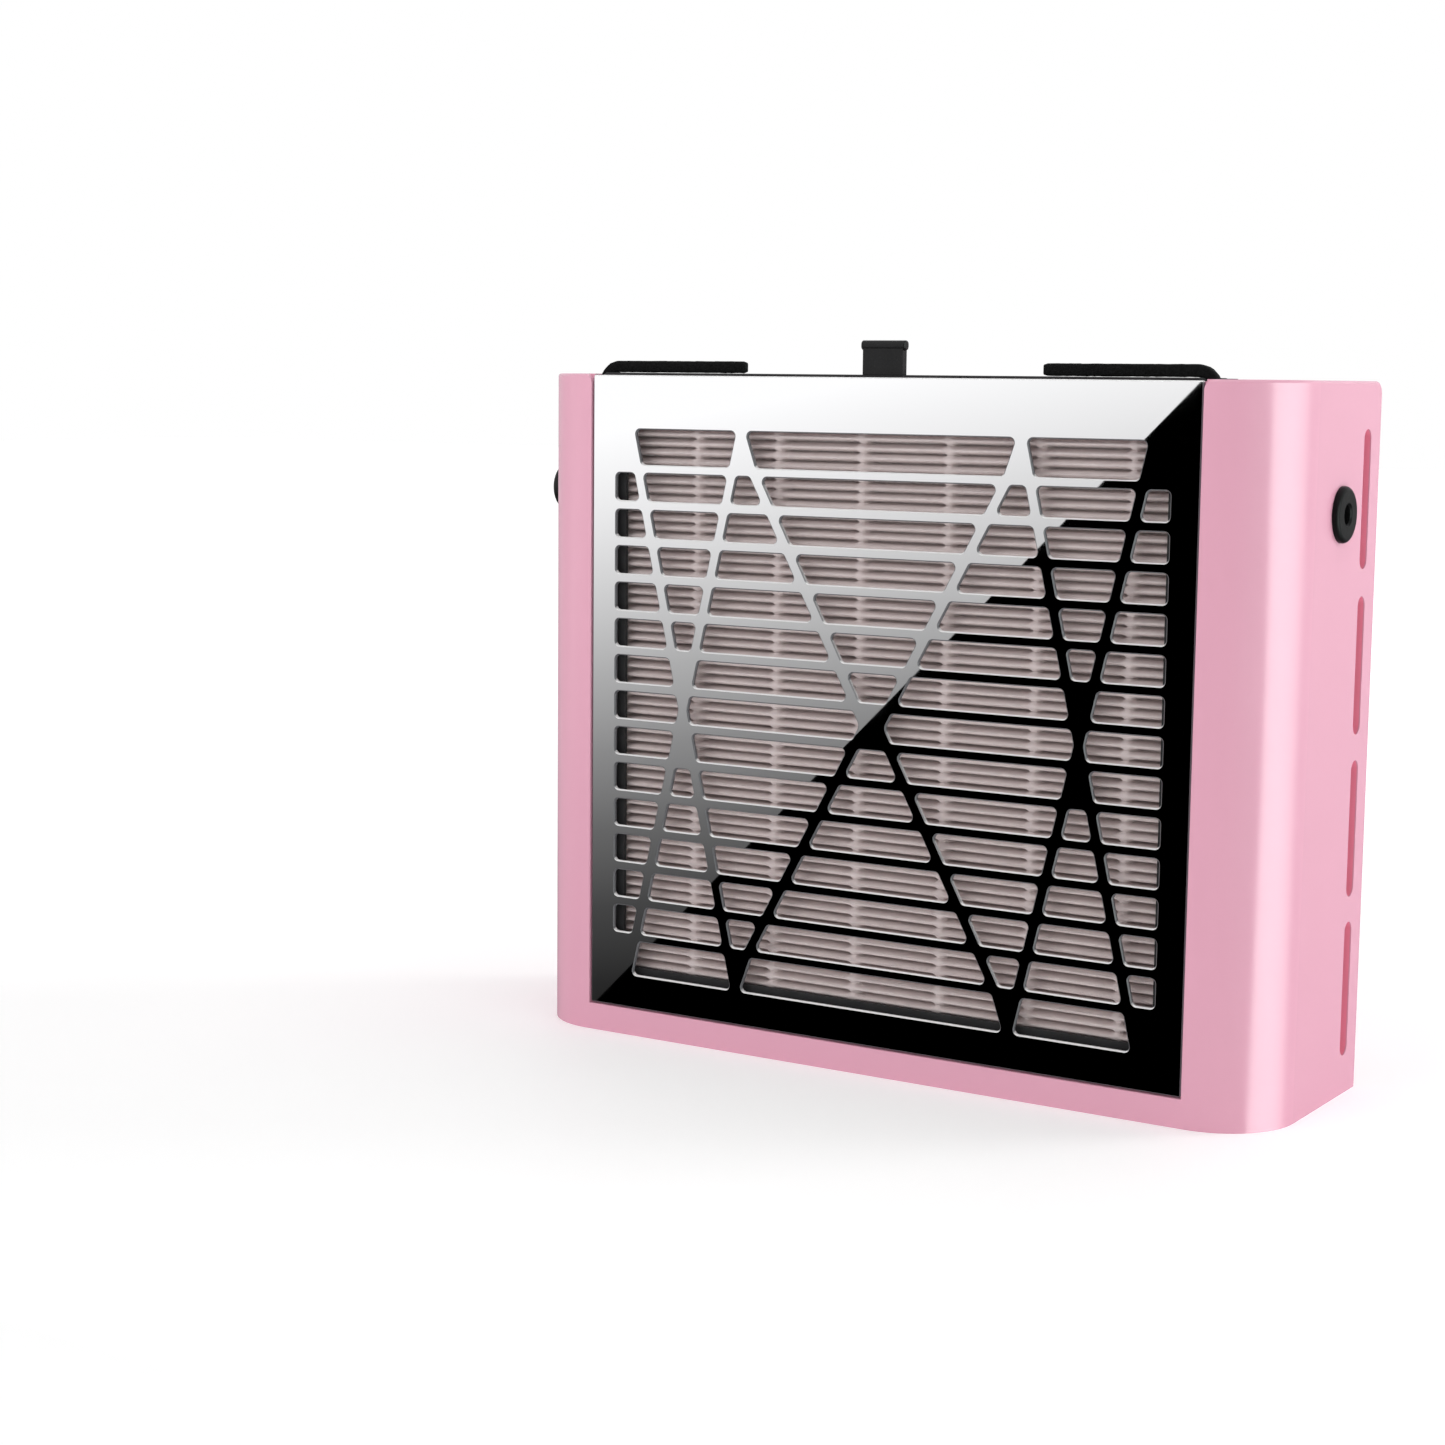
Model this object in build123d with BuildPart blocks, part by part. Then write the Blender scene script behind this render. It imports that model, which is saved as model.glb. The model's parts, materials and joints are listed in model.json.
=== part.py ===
"""Desktop nail dust collector: a top-loading filter cassette behind a mirror grille, two fans, one knob.

Millimetres, +Z up. The origin is the middle of the housing's bottom face and the grille looks along -Y.
"""
from build123d import *
import os
from math import sqrt

os.makedirs("parts", exist_ok=True)

# ---------------------------------------------------------------- housing
BODY_W = 260.0
BODY_D = 76.0
BODY_H = 215.0
WALL = 3.0
FRONT_CORNER_R = 24.0
BACK_LIP = 5.5  # frame left round the back opening
BACK_TOP_R = 4.0
TOP_EDGE_R = 1.0
HALF_W = BODY_W / 2
FRONT_Y = -BODY_D / 2
BACK_Y = BODY_D / 2
CUT = 0.5  # how far a cut runs past the face it goes through

# ---------------------------------------------------------------- back cover and feet
COVER_T = 2.5
COVER_Y = BACK_Y - COVER_T
COVER_GAP = 0.3
COVER_CORNER_R = 1.5
COVER_EDGE = 0.5
RIB_T = 1.6
RIB_H = 3.0
RIB_INSET_X = 13.0
RIB_INSET_Z = 27.0
RIB_CORNER_R = 4.0
FOOT_R = 6.0
FOOT_GAP = 0.3
FOOT_SEAT = 0.8
FOOT_H = 2.0
FOOT_EDGE_R = 0.6

# ---------------------------------------------------------------- mirror grille
GRILLE_W = 209.2
GRILLE_Z0 = 9.1
GRILLE_Z1 = 214.6
GRILLE_T = 1.2
TAPE_T = 0.2
GRILLE_SINK = 0.6  # how far the grille lies below the corner strips
GRILLE_CORNER_R = 0.6
TAPE_INSET = 1.0
RIM_CHAMFER = 0.35
RECESS_GAP = 0.4
LIP_Z = 214.4  # top of the wall behind the grille
STRIP_CORNER_R = 3.0
GRILLE_Y = FRONT_Y + GRILLE_SINK
RECESS_Y = GRILLE_Y + GRILLE_T + TAPE_T

ROWS = 15
ROW_PITCH = 11.73
ROW_H = 8.75
END_ROW_Z = (186.3, 197.5)
MIDDLE_Z = 108.8
ROW_HALF_W = 95.6
BAR_W = 3.5
SIDE_CROSS_X = 69.3
SIDE_SLOPE = 0.235
CENTRE_ARM_X = 2.5
CENTRE_SLOPE = 0.544
OPENING_R = 1.5
POINTED_END_R = 2.6
LEAST_OPENING = 3.4
LEVEL_TOL = 0.1

# ---------------------------------------------------------------- air path
WINDOW = (-99.0, 99.0, 17.0, 201.0)
WINDOW_CORNER_R = 4.0
SLOT_HALF_W = 108.4
SLOT_BACK_Y = -13.4
EXHAUST_Z = ((12.0, 53.3), (61.0, 102.4), (110.2, 151.6), (159.7, 201.0))
EXHAUST_W = 6.0
EXHAUST_Y = 26.5

# ---------------------------------------------------------------- fan deck
DECK_Y = -12.5
DECK_T = 2.5
DECK_BACK_Y = DECK_Y + DECK_T
DECK_HALF_W = 126.5
DECK_Z = (3.5, 211.5)
DECK_CORNER_R = 3.0
GUIDE_X = 107.8
GUIDE_T = 1.8
LEDGE_Z = 11.7
LEDGE_T = 2.0
GUIDE_FRONT_Y = -34.6

# ---------------------------------------------------------------- fans, 120 x 120 x 25
FAN_X = 61.5
FAN_Z = 100.0
FAN_SIZE = 120.0
FAN_T = 25.0
FAN_BORE_R = 57.6
FAN_HOLE = 52.5
FLANGE_T = 4.0
BLADES = 7
IMPELLER_R = 56.6
HUB_R = 20.0
SHAFT_R = 1.5
BEARING_GAP = 0.03
FAN_CENTRES = ((-FAN_X, FAN_Z), (FAN_X, FAN_Z))
FAN_CORNER_R = 5.0
FAN_HOLE_R = 2.15
DUCT_T = 1.8
STRUT_ANGLE = 20.0
STRUT_W = 4.5
STRUT_W0 = 21.4  # axial place of the struts and motor base, from the fan's front
MOTOR_BASE_R = 21.0
CUP_W = (2.0, 20.2)
CUP_T = 1.8
CUP_EDGE_R = 1.2
SHAFT_BOSS = (3.4, 1.7)  # radius and height
BLADE_ROOT = (18.8, 20.0, 14.5, 2.2)  # radius, chord, rise and camber
BLADE_TIP = (57.6, 36.0, 16.0, 3.2)
BLADE_T = 1.8
TUBE_R = 5.0
TUBE_W0 = 6.0
BEARING_R = 4.0
BEARING_T = 4.0
BEARINGS_W = (7.0, 17.0)
ROTOR_R = HUB_R - CUP_T
ROTOR_T = 2.0
STATOR_R = 15.4
STATOR_RING = 2.4
STATOR_ARM = 4.0
STATOR_SLOT = (6.0, 2.2)
STATOR_W = (9.0, 15.0)
WINDING_R = 9.8
WINDING = (5.0, 8.4)
WINDING_OVER = 1.2
WINDING_EDGE_R = 0.8

# ---------------------------------------------------------------- cassette
CASSETTE_Y = -34.4
CASSETTE_HALF_W = 103.0
CASSETTE_Z = (16.0, 215.4)
FRAME_T = 1.4
FRAME_BORDER = 8.0
FRAME_SIDE = 9.2
FRAME_BOTTOM = 6.0
FRAME_CORNER_R = 1.5
FRAME_EDGE = 0.3
CASSETTE_BACK_Y = -14.6
CARTON_T = 2.0
FOAM_T = 4.0
FOAM_Y = (-31.0, -15.4)
FOAM_TOP_Z = 219.3
FOAM_CORNER_R = 7.5
SHOULDER_X = 51.7
SHOULDER_T = 3.0
PLEAT_PITCH = 3.0
PLEAT_Y = (-31.6, -17.0)
PLEAT_END_GAP = 1.2
FOLD_HALF = 0.35
FOLD_DEPTH = 1.5
GLUE_PITCH = 30.0
GLUE_X = -8.6
GLUE_W = 1.8
GLUE_T = 0.5
TAB_W = 13.8
TAB_T = 2.4
TAB_TOP_Z = 225.7
TAB_BEAD_W = 15.2
TAB_BEAD_H = 3.0
TAB_BEAD_T = 2.8
TAB_BEAD_R = 1.2
TAB_END_R = 0.5

# ---------------------------------------------------------------- controls on the two sides
CONTROL_Y = 7.0
CONTROL_Z = 176.5
KNOB_R = 8.3
KNOB_TIP_X = -148.0
KNOB_BASE_X = -130.8
KNOB_TIP_R = 1.6
KNOB_BASE_R = 0.4
KNOB_CAVITY = (6.8, 4.4)  # radius and depth
KNOB_CAP_T = 2.0
KNOB_POINTER = (5.0, 1.0, 0.5)  # length, width and depth
KNOB_POINTER_R = 4.6
POT_SHAFT_R = 3.0
POT_BORE_R = 3.05
POT_R = 8.0
POT_DEPTH = 8.6
POT_BORE_DEPTH = 6.0
POT_TAGS = (13.0, 8.0, 1.6)  # depth, height and thickness
POT_TAGS_DROP = 9.0
POT_TAGS_IN = 2.0
BUSHING_R = 3.5
BUSHING_TIP_X = -134.4
SHAFT_END_GAP = 0.5
WASHER_R = 5.8
WASHER_T = 0.5
NUT_R = 5.0
NUT_T = 2.0
HOLE_GAP = 0.1
JACK_BEZEL_R = 8.3
JACK_BARREL_R = 5.5
JACK_LIP = 2.0
JACK_LIP_R = 1.4
JACK_HOLE_R = 2.9
JACK_MOUTH = 0.6
JACK_DEPTH = 9.5
JACK_BODY_X = HALF_W - 15.0
JACK_PIN_R = 1.05
JACK_PIN_TIP_R = 0.5
JACK_NUT_R = 7.0
JACK_NUT_T = 2.4

# ---------------------------------------------------------------- control board and wiring
BOARD_X = -66.0
BOARD_Z = 187.0
BOARD_W = 58.0
BOARD_H = 34.0
BOARD_T = 1.6
BOARD_CORNER_R = 1.5
BOARD_Y = DECK_BACK_Y + 6.0
BOARD_BACK_Y = BOARD_Y + BOARD_T
BOARD_HOLE_X = BOARD_W / 2 - 4
BOARD_HOLE_Z = BOARD_H / 2 - 4
STANDOFF_R = 2.6
CAPACITORS = ((-79.0, 192.0, 4.0), (-68.0, 194.0, 3.2))  # X, Z and radius
CAPACITOR_H = 11.0
CAPACITOR_EDGE_R = 0.6
DRIVER = (-56.0, 194.0)
DRIVER_SIZE = (10.0, 4.5, 14.0)  # X, Z and height
SINK_Z = 197.5
SINK_SIZE = (12.0, 2.5, 15.0)
SINK_FINS = 5
SINK_FIN = (1.0, 2.0)
SINK_FIN_PITCH = 2.6
CONNECTOR = (8.0, 7.0, 6.0)  # X, Y and Z of a wire connector
LEAD_R = 1.1
POWER_CONNECTOR = (-46.0, 182.0)
RIGHT_FAN_CONNECTOR = (-46.0, 191.5)
LEFT_FAN_CONNECTOR = (-88.0, 191.0)
POT_CONNECTOR = (-88.0, 181.5)

# ---------------------------------------------------------------- fasteners
SCREW_R = 1.25
SCREW_GAP = 0.2
HEAD_R = 2.8
HEAD_H = 1.6
HEAD_EDGE_R = 0.4
CROSS_SLOT = (1.2, 0.6, 0.55)  # length by head radius, width, depth by head height
COVER_SCREW_L = 11.0
DECK_SCREW_L = 9.0
FAN_HEAD = (3.4, 2.2)
BOARD_HEAD = (2.4, 1.5)
BOARD_SCREW_L = 5.5
BOSS_R = 4.0
DECK_BOSS_R = 3.5
BOSS_GAP = 0.4
COVER_PILOT_L = 12.0
DECK_PILOT_L = 8.0
BOARD_PILOT_L = 5.0
LONG_BOSSES = ((-118.0, 14.0), (118.0, 14.0), (-118.0, 203.0), (118.0, 203.0))
DECK_BOSSES = ((-118.0, 30.0), (118.0, 30.0), (-118.0, 189.0), (118.0, 189.0))
DECK_POSTS = ((0.0, 22.0), (0.0, 191.0))
FOOT_PLACES = ((-106.0, 26.0), (106.0, 26.0), (-106.0, 188.0), (106.0, 188.0))


def facing_back(x, y, z):
    """A plane whose normal points backwards, along +Y."""
    return Plane(origin=(x, y, z), x_dir=(1, 0, 0), z_dir=(0, 1, 0))


def front_plane(y):
    """A plane at depth y with local x along X and local y up; its normal points forwards."""
    return Plane.XZ.offset(-y)


def finish(builder, name):
    """Label one finished piece and write it to its own file."""
    builder.part.label = name
    export_step(builder.part, f"parts/{name}.step")


def plan_face(inset, back_y):
    """The plan as a face, from its front wall to back_y."""
    with BuildSketch() as plan:
        with Locations((0, FRONT_Y + inset)):
            Rectangle(BODY_W - 2 * inset, back_y - FRONT_Y - inset, align=(Align.CENTER, Align.MIN))
        fillet(plan.vertices().group_by(Axis.Y)[0], FRONT_CORNER_R - inset)
    return plan.sketch


# ================================================================ housing pieces
def make_shell():
    """Front, sides, top and bottom in one moulding, open at the back."""
    with BuildPart(mode=Mode.PRIVATE) as cavity:
        with BuildSketch(Plane.XY.offset(WALL)):
            add(plan_face(WALL, BACK_Y - BACK_LIP))
        extrude(amount=BODY_H - 2 * WALL)
        for x, z in LONG_BOSSES:
            with BuildSketch(facing_back(x, FRONT_Y, z)):
                Circle(BOSS_R)
            extrude(amount=COVER_Y - FRONT_Y, mode=Mode.SUBTRACT)
        for x, z in DECK_BOSSES:
            with BuildSketch(facing_back(x, FRONT_Y, z)):
                Circle(DECK_BOSS_R)
            extrude(amount=DECK_Y - FRONT_Y, mode=Mode.SUBTRACT)

    with BuildPart() as shell:
        with BuildSketch():
            add(plan_face(0, BACK_Y))
        extrude(amount=BODY_H)
        fillet(shell.faces().sort_by(Axis.Y)[-1].edges().sort_by(Axis.Z)[-1], BACK_TOP_R)
        soft_edges = shell.faces().sort_by(Axis.Z)[-1].edges().sort_by(Axis.Y)[:-1]
        for side in (0, -1):
            wall = shell.faces().filter_by(Plane.YZ).sort_by(Axis.X)[side]
            soft_edges += [edge for edge in wall.edges() if edge.center().Y > BACK_Y - BACK_TOP_R]
        fillet(soft_edges, TOP_EDGE_R)
        add(cavity.part, mode=Mode.SUBTRACT)
        # back opening, narrower than the cavity by the round edge
        with BuildSketch(front_plane(BACK_Y)):
            with Locations((0, WALL)):
                Rectangle(
                    BODY_W - 2 * BACK_LIP,
                    BODY_H - WALL - BACK_LIP,
                    align=(Align.CENTER, Align.MIN),
                )
        extrude(amount=BACK_LIP + CUT, mode=Mode.SUBTRACT)
        # recess for the grille, open at the top
        recess_half_w = GRILLE_W / 2 + RECESS_GAP
        with BuildSketch(front_plane(FRONT_Y)) as recess:
            with Locations((0, GRILLE_Z0 - RECESS_GAP)):
                Rectangle(2 * recess_half_w, BODY_H, align=(Align.CENTER, Align.MIN))
            with Locations((0, BODY_H)):
                Rectangle(BODY_W, STRIP_CORNER_R, align=(Align.CENTER, Align.MIN))
            level = recess.vertices().filter_by_position(Axis.Y, BODY_H - LEVEL_TOL, BODY_H + LEVEL_TOL)
            fillet([v for v in level if abs(v.X) < HALF_W - LEVEL_TOL], STRIP_CORNER_R)
        extrude(amount=-(RECESS_Y - FRONT_Y), mode=Mode.SUBTRACT)
        # window behind the grille
        x0, x1, z0, z1 = WINDOW
        with BuildSketch(front_plane(FRONT_Y)):
            with Locations(((x0 + x1) / 2, (z0 + z1) / 2)):
                RectangleRounded(x1 - x0, z1 - z0, WINDOW_CORNER_R)
        extrude(amount=-(WALL + CUT), mode=Mode.SUBTRACT)
        # slot for the cassette through the top
        slot_front = FRONT_Y + WALL
        with BuildSketch(Plane.XY.offset(BODY_H - WALL - CUT)):
            with Locations((0, slot_front)):
                Rectangle(2 * SLOT_HALF_W, SLOT_BACK_Y - slot_front, align=(Align.CENTER, Align.MIN))
        extrude(amount=WALL + 2 * CUT, mode=Mode.SUBTRACT)
        # the wall behind the grille stops just below the grille's top edge
        with BuildSketch(Plane.XY.offset(LIP_Z)):
            with Locations((0, RECESS_Y)):
                Rectangle(2 * recess_half_w, slot_front - RECESS_Y, align=(Align.CENTER, Align.MIN))
        extrude(amount=BODY_H - LIP_Z + CUT, mode=Mode.SUBTRACT)
        # exhaust slots through both sides
        with BuildSketch(Plane.YZ.offset(-HALF_W)):
            for z0, z1 in EXHAUST_Z:
                with Locations((EXHAUST_Y, (z0 + z1) / 2)):
                    SlotOverall(z1 - z0, EXHAUST_W, rotation=90)
        extrude(amount=BODY_W, mode=Mode.SUBTRACT)
        # holes for the pot's bushing and the jack's barrel
        with BuildSketch(Plane.YZ.offset(-HALF_W)):
            with Locations((CONTROL_Y, CONTROL_Z)):
                Circle(BUSHING_R + HOLE_GAP)
        extrude(amount=WALL + CUT, mode=Mode.SUBTRACT)
        with BuildSketch(Plane.YZ.offset(HALF_W)):
            with Locations((CONTROL_Y, CONTROL_Z)):
                Circle(JACK_BARREL_R + HOLE_GAP)
        extrude(amount=-(WALL + CUT), mode=Mode.SUBTRACT)
        # pilot holes in the bosses
        for x, z in LONG_BOSSES:
            with BuildSketch(facing_back(x, COVER_Y - COVER_PILOT_L, z)):
                Circle(SCREW_R)
            extrude(amount=COVER_PILOT_L + CUT, mode=Mode.SUBTRACT)
        for x, z in DECK_BOSSES:
            with BuildSketch(facing_back(x, DECK_Y - DECK_PILOT_L, z)):
                Circle(SCREW_R)
            extrude(amount=DECK_PILOT_L + CUT, mode=Mode.SUBTRACT)
    finish(shell, "shell")


def cover_screw_places():
    """Where the back cover's screws go, in X and Z."""
    return LONG_BOSSES + DECK_POSTS


def make_back_cover():
    """Flat plate that closes the back, with a stiffening rib and seats for the feet."""
    half_w = HALF_W - BACK_LIP - COVER_GAP
    z0 = WALL + COVER_GAP
    z1 = BODY_H - BACK_LIP - COVER_GAP
    rib_w = 2 * (half_w - RIB_INSET_X)
    rib_h = z1 - z0 - 2 * RIB_INSET_Z
    with BuildPart() as cover:
        with BuildSketch(front_plane(BACK_Y)):
            with Locations((0, (z0 + z1) / 2)):
                RectangleRounded(2 * half_w, z1 - z0, COVER_CORNER_R)
        extrude(amount=COVER_T)
        with BuildSketch(front_plane(COVER_Y)):
            with Locations((0, (z0 + z1) / 2)):
                RectangleRounded(rib_w, rib_h, RIB_CORNER_R)
                RectangleRounded(
                    rib_w - 2 * RIB_T,
                    rib_h - 2 * RIB_T,
                    RIB_CORNER_R - RIB_T,
                    mode=Mode.SUBTRACT,
                )
        extrude(amount=RIB_H)
        outer = cover.faces().sort_by(Axis.Y)[-1]
        chamfer(outer.edges(), COVER_EDGE)
        for x, z in FOOT_PLACES:
            with BuildSketch(front_plane(BACK_Y)):
                with Locations((x, z)):
                    Circle(FOOT_R + FOOT_GAP)
            extrude(amount=FOOT_SEAT, mode=Mode.SUBTRACT)
        for x, z in cover_screw_places():
            with BuildSketch(front_plane(BACK_Y)):
                with Locations((x, z)):
                    Circle(HEAD_R + SCREW_GAP)
            extrude(amount=HEAD_H, mode=Mode.SUBTRACT)
            with BuildSketch(front_plane(BACK_Y)):
                with Locations((x, z)):
                    Circle(SCREW_R + SCREW_GAP)
            extrude(amount=COVER_T + CUT, mode=Mode.SUBTRACT)
    finish(cover, "back_cover")


def make_feet():
    """Four stick-on rubber feet in shallow seats on the back cover."""
    with BuildPart() as feet:
        for x, z in FOOT_PLACES:
            with BuildSketch(facing_back(x, BACK_Y - FOOT_SEAT, z)):
                Circle(FOOT_R)
            extrude(amount=FOOT_H)
        rims = feet.faces().group_by(Axis.Y)[-1].edges()
        fillet(rims, FOOT_EDGE_R)
    finish(feet, "rubber_feet")


def make_screws(name, places, head_y, length, head_r=HEAD_R, head_h=HEAD_H):
    """Pan-head screws driven forwards from head_y, the face under the head, with crossed slots."""
    slot_l, slot_w, slot_depth = CROSS_SLOT
    with BuildPart() as screws:
        for x, z in places:
            with BuildSketch(facing_back(x, head_y, z)):
                Circle(head_r)
            extrude(amount=head_h)
            with BuildSketch(facing_back(x, head_y, z)):
                Circle(SCREW_R)
            extrude(amount=-length)
            with BuildSketch(facing_back(x, head_y + head_h, z)):
                Rectangle(head_r * slot_l, slot_w)
                Rectangle(slot_w, head_r * slot_l)
            extrude(amount=-head_h * slot_depth, mode=Mode.SUBTRACT)
        tops = screws.faces().filter_by(Plane.XZ).group_by(Axis.Y)[-1]
        fillet(tops.edges().filter_by(GeomType.CIRCLE), HEAD_EDGE_R)
    finish(screws, name)


# ================================================================ mirror grille
def bar_half(slope):
    """Half a slanted bar's width, measured along X."""
    return BAR_W / 2 * sqrt(1 + slope * slope)


def arm_edges(t):
    """X of the centre arm, and of the side cross's inner and outer arms, t above or below the middle."""
    centre = CENTRE_ARM_X + CENTRE_SLOPE * t
    inner = SIDE_CROSS_X - SIDE_SLOPE * t
    outer = SIDE_CROSS_X + SIDE_SLOPE * t
    return centre, inner, outer


def region_edges(region, t, end_row):
    """Left and right X of one open region at height t from the middle, or None."""
    centre, inner, outer = arm_edges(t)
    wide = bar_half(CENTRE_SLOPE)
    slim = bar_half(SIDE_SLOPE)
    if region == "middle":
        right = min(centre - wide, inner - slim)
        return -right, right
    if region == "between":
        return centre + wide, inner - slim
    if region == "cross":
        return inner + slim, outer - slim
    return (None, None) if end_row else (outer + slim, ROW_HALF_W)


def opening_outline(region, z0, z1, end_row):
    """Corner points of one opening, or nothing where the bars leave no room for it."""
    levels = [z0, z1]
    if z0 < MIDDLE_Z < z1:
        levels = [z0, MIDDLE_Z, z1]
    left = []
    right = []
    for z in levels:
        x0, x1 = region_edges(region, abs(z - MIDDLE_Z), end_row)
        if x0 is None or x1 - x0 < LEAST_OPENING:
            return []
        left.append((x0, z))
        right.append((x1, z))
    if region == "outside" and len(levels) == 3:
        right.pop(1)
    return right + left[::-1]


def opening_face(points):
    """One opening with rounded corners; a pointed end gets the larger radius."""
    with BuildSketch() as opening:
        with BuildLine():
            Polyline(*points, close=True)
        make_face()
        fillet([v for v in opening.vertices() if abs(v.Y - MIDDLE_Z) > LEVEL_TOL], OPENING_R)
        pointed = [v for v in opening.vertices() if abs(v.Y - MIDDLE_Z) < LEVEL_TOL]
        if pointed:
            fillet(pointed, POINTED_END_R)
    return opening.sketch


def row_heights():
    """Bottom and top of each row of openings, from the lowest row to the highest."""
    middle = ROWS // 2
    rows = []
    for i in range(1, ROWS - 1):
        z = MIDDLE_Z + (i - middle) * ROW_PITCH
        rows.append((z - ROW_H / 2, z + ROW_H / 2, False))
    low, high = END_ROW_Z
    below = (2 * MIDDLE_Z - high, 2 * MIDDLE_Z - low, True)
    return [below] + rows + [(low, high, True)]


def grille_openings():
    """Every opening of the grille; the pattern is the same left and right."""
    faces = []
    for z0, z1, end_row in row_heights():
        for region in ("middle", "between", "cross", "outside"):
            points = opening_outline(region, z0, z1, end_row)
            if not points:
                continue
            face = opening_face(points)
            faces.append(face)
            if region != "middle":
                faces.append(mirror(face, about=Plane.YZ))
    return faces


def make_grille():
    """Mirror sheet with rows of slots crossed by slanted bars."""
    with BuildPart() as grille:
        with BuildSketch(front_plane(GRILLE_Y)):
            with Locations((0, (GRILLE_Z0 + GRILLE_Z1) / 2)):
                RectangleRounded(GRILLE_W, GRILLE_Z1 - GRILLE_Z0, GRILLE_CORNER_R)
            for face in grille_openings():
                add(face, mode=Mode.SUBTRACT)
        extrude(amount=-GRILLE_T)
        front = grille.faces().sort_by(Axis.Y)[0]
        chamfer(front.edges(), RIM_CHAMFER)
    finish(grille, "mirror_grille")


def make_tape():
    """Double-sided tape that holds the grille in its recess."""
    x0, x1, z0, z1 = WINDOW
    with BuildPart() as tape:
        with BuildSketch(front_plane(GRILLE_Y + GRILLE_T)):
            with Locations((0, (GRILLE_Z0 + GRILLE_Z1) / 2)):
                RectangleRounded(
                    GRILLE_W - 2 * TAPE_INSET,
                    GRILLE_Z1 - GRILLE_Z0 - 2 * TAPE_INSET,
                    GRILLE_CORNER_R,
                )
            with Locations(((x0 + x1) / 2, (z0 + z1) / 2)):
                RectangleRounded(
                    x1 - x0 + TAPE_INSET,
                    z1 - z0 + TAPE_INSET,
                    WINDOW_CORNER_R,
                    mode=Mode.SUBTRACT,
                )
        extrude(amount=-TAPE_T)
    finish(tape, "grille_tape")


# ================================================================ fan deck
def board_hole_places():
    """The control board's four fixing holes, in X and Z."""
    return tuple(
        (BOARD_X + sx * BOARD_HOLE_X, BOARD_Z + sz * BOARD_HOLE_Z) for sx in (-1, 1) for sz in (-1, 1)
    )


def fan_hole_places():
    """The fixing holes of both fans, in X and Z."""
    return tuple(
        (x + sx * FAN_HOLE, z + sz * FAN_HOLE) for x, z in FAN_CENTRES for sx in (-1, 1) for sz in (-1, 1)
    )


def make_deck():
    """Partition that carries both fans and the board, and guides the cassette."""
    z0, z1 = DECK_Z
    with BuildPart() as deck:
        with BuildSketch(front_plane(DECK_Y)):
            with Locations((0, (z0 + z1) / 2)):
                RectangleRounded(2 * DECK_HALF_W, z1 - z0, DECK_CORNER_R)
            for x, z in FAN_CENTRES:
                with Locations((x, z)):
                    Circle(FAN_BORE_R, mode=Mode.SUBTRACT)
            for x, z in LONG_BOSSES:
                with Locations((x, z)):
                    Circle(BOSS_R + BOSS_GAP, mode=Mode.SUBTRACT)
            for x, z in DECK_BOSSES:
                with Locations((x, z)):
                    Circle(SCREW_R + SCREW_GAP, mode=Mode.SUBTRACT)
            for x, z in fan_hole_places():
                with Locations((x, z)):
                    Circle(SCREW_R, mode=Mode.SUBTRACT)
        extrude(amount=-DECK_T)
        # channel that the cassette slides in: two side guides and a bottom ledge
        with BuildSketch(front_plane(DECK_Y)):
            for side in (-1, 1):
                with Locations((side * (GUIDE_X + GUIDE_T / 2), LEDGE_Z - LEDGE_T)):
                    Rectangle(GUIDE_T, z1 - LEDGE_Z + LEDGE_T, align=(Align.CENTER, Align.MIN))
            with Locations((0, LEDGE_Z - LEDGE_T / 2)):
                Rectangle(2 * (GUIDE_X + GUIDE_T), LEDGE_T)
        extrude(amount=DECK_Y - GUIDE_FRONT_Y)
        # posts behind the deck for the two middle screws of the back cover
        for x, z in DECK_POSTS:
            with BuildSketch(facing_back(x, DECK_BACK_Y, z)):
                Circle(BOSS_R)
            extrude(amount=COVER_Y - DECK_BACK_Y)
            with BuildSketch(facing_back(x, COVER_Y - COVER_PILOT_L, z)):
                Circle(SCREW_R)
            extrude(amount=COVER_PILOT_L + CUT, mode=Mode.SUBTRACT)
        # standoffs under the control board
        for x, z in board_hole_places():
            with BuildSketch(facing_back(x, DECK_BACK_Y, z)):
                Circle(STANDOFF_R)
            extrude(amount=BOARD_Y - DECK_BACK_Y)
            with BuildSketch(facing_back(x, BOARD_Y - BOARD_PILOT_L, z)):
                Circle(SCREW_R)
            extrude(amount=BOARD_PILOT_L + CUT, mode=Mode.SUBTRACT)
    finish(deck, "fan_deck")


# ================================================================ fans
def make_fan_frame(name, plane):
    """Square frame: two flanges, a duct, four struts and the motor base with its bearing tube."""
    with BuildPart() as frame:
        for w in (0, FAN_T - FLANGE_T):
            with BuildSketch(plane.offset(w)):
                RectangleRounded(FAN_SIZE, FAN_SIZE, FAN_CORNER_R)
                Circle(FAN_BORE_R, mode=Mode.SUBTRACT)
                with GridLocations(2 * FAN_HOLE, 2 * FAN_HOLE, 2, 2):
                    Circle(FAN_HOLE_R, mode=Mode.SUBTRACT)
            extrude(amount=FLANGE_T)
        with BuildSketch(plane):
            Circle(FAN_BORE_R + DUCT_T)
            Circle(FAN_BORE_R, mode=Mode.SUBTRACT)
        extrude(amount=FAN_T)
        with BuildSketch(plane.offset(STRUT_W0)):
            Circle(MOTOR_BASE_R)
            with PolarLocations((HUB_R + FAN_BORE_R) / 2, 4, STRUT_ANGLE):
                Rectangle(FAN_BORE_R - HUB_R + DUCT_T, STRUT_W)
        extrude(amount=FAN_T - STRUT_W0)
        with BuildSketch(plane.offset(TUBE_W0)):
            Circle(TUBE_R)
        extrude(amount=STRUT_W0 - TUBE_W0)
        with BuildSketch(plane.offset(TUBE_W0)):
            Circle(BEARING_R)
        extrude(amount=STRUT_W0 - TUBE_W0, mode=Mode.SUBTRACT)
    finish(frame, name)


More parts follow.
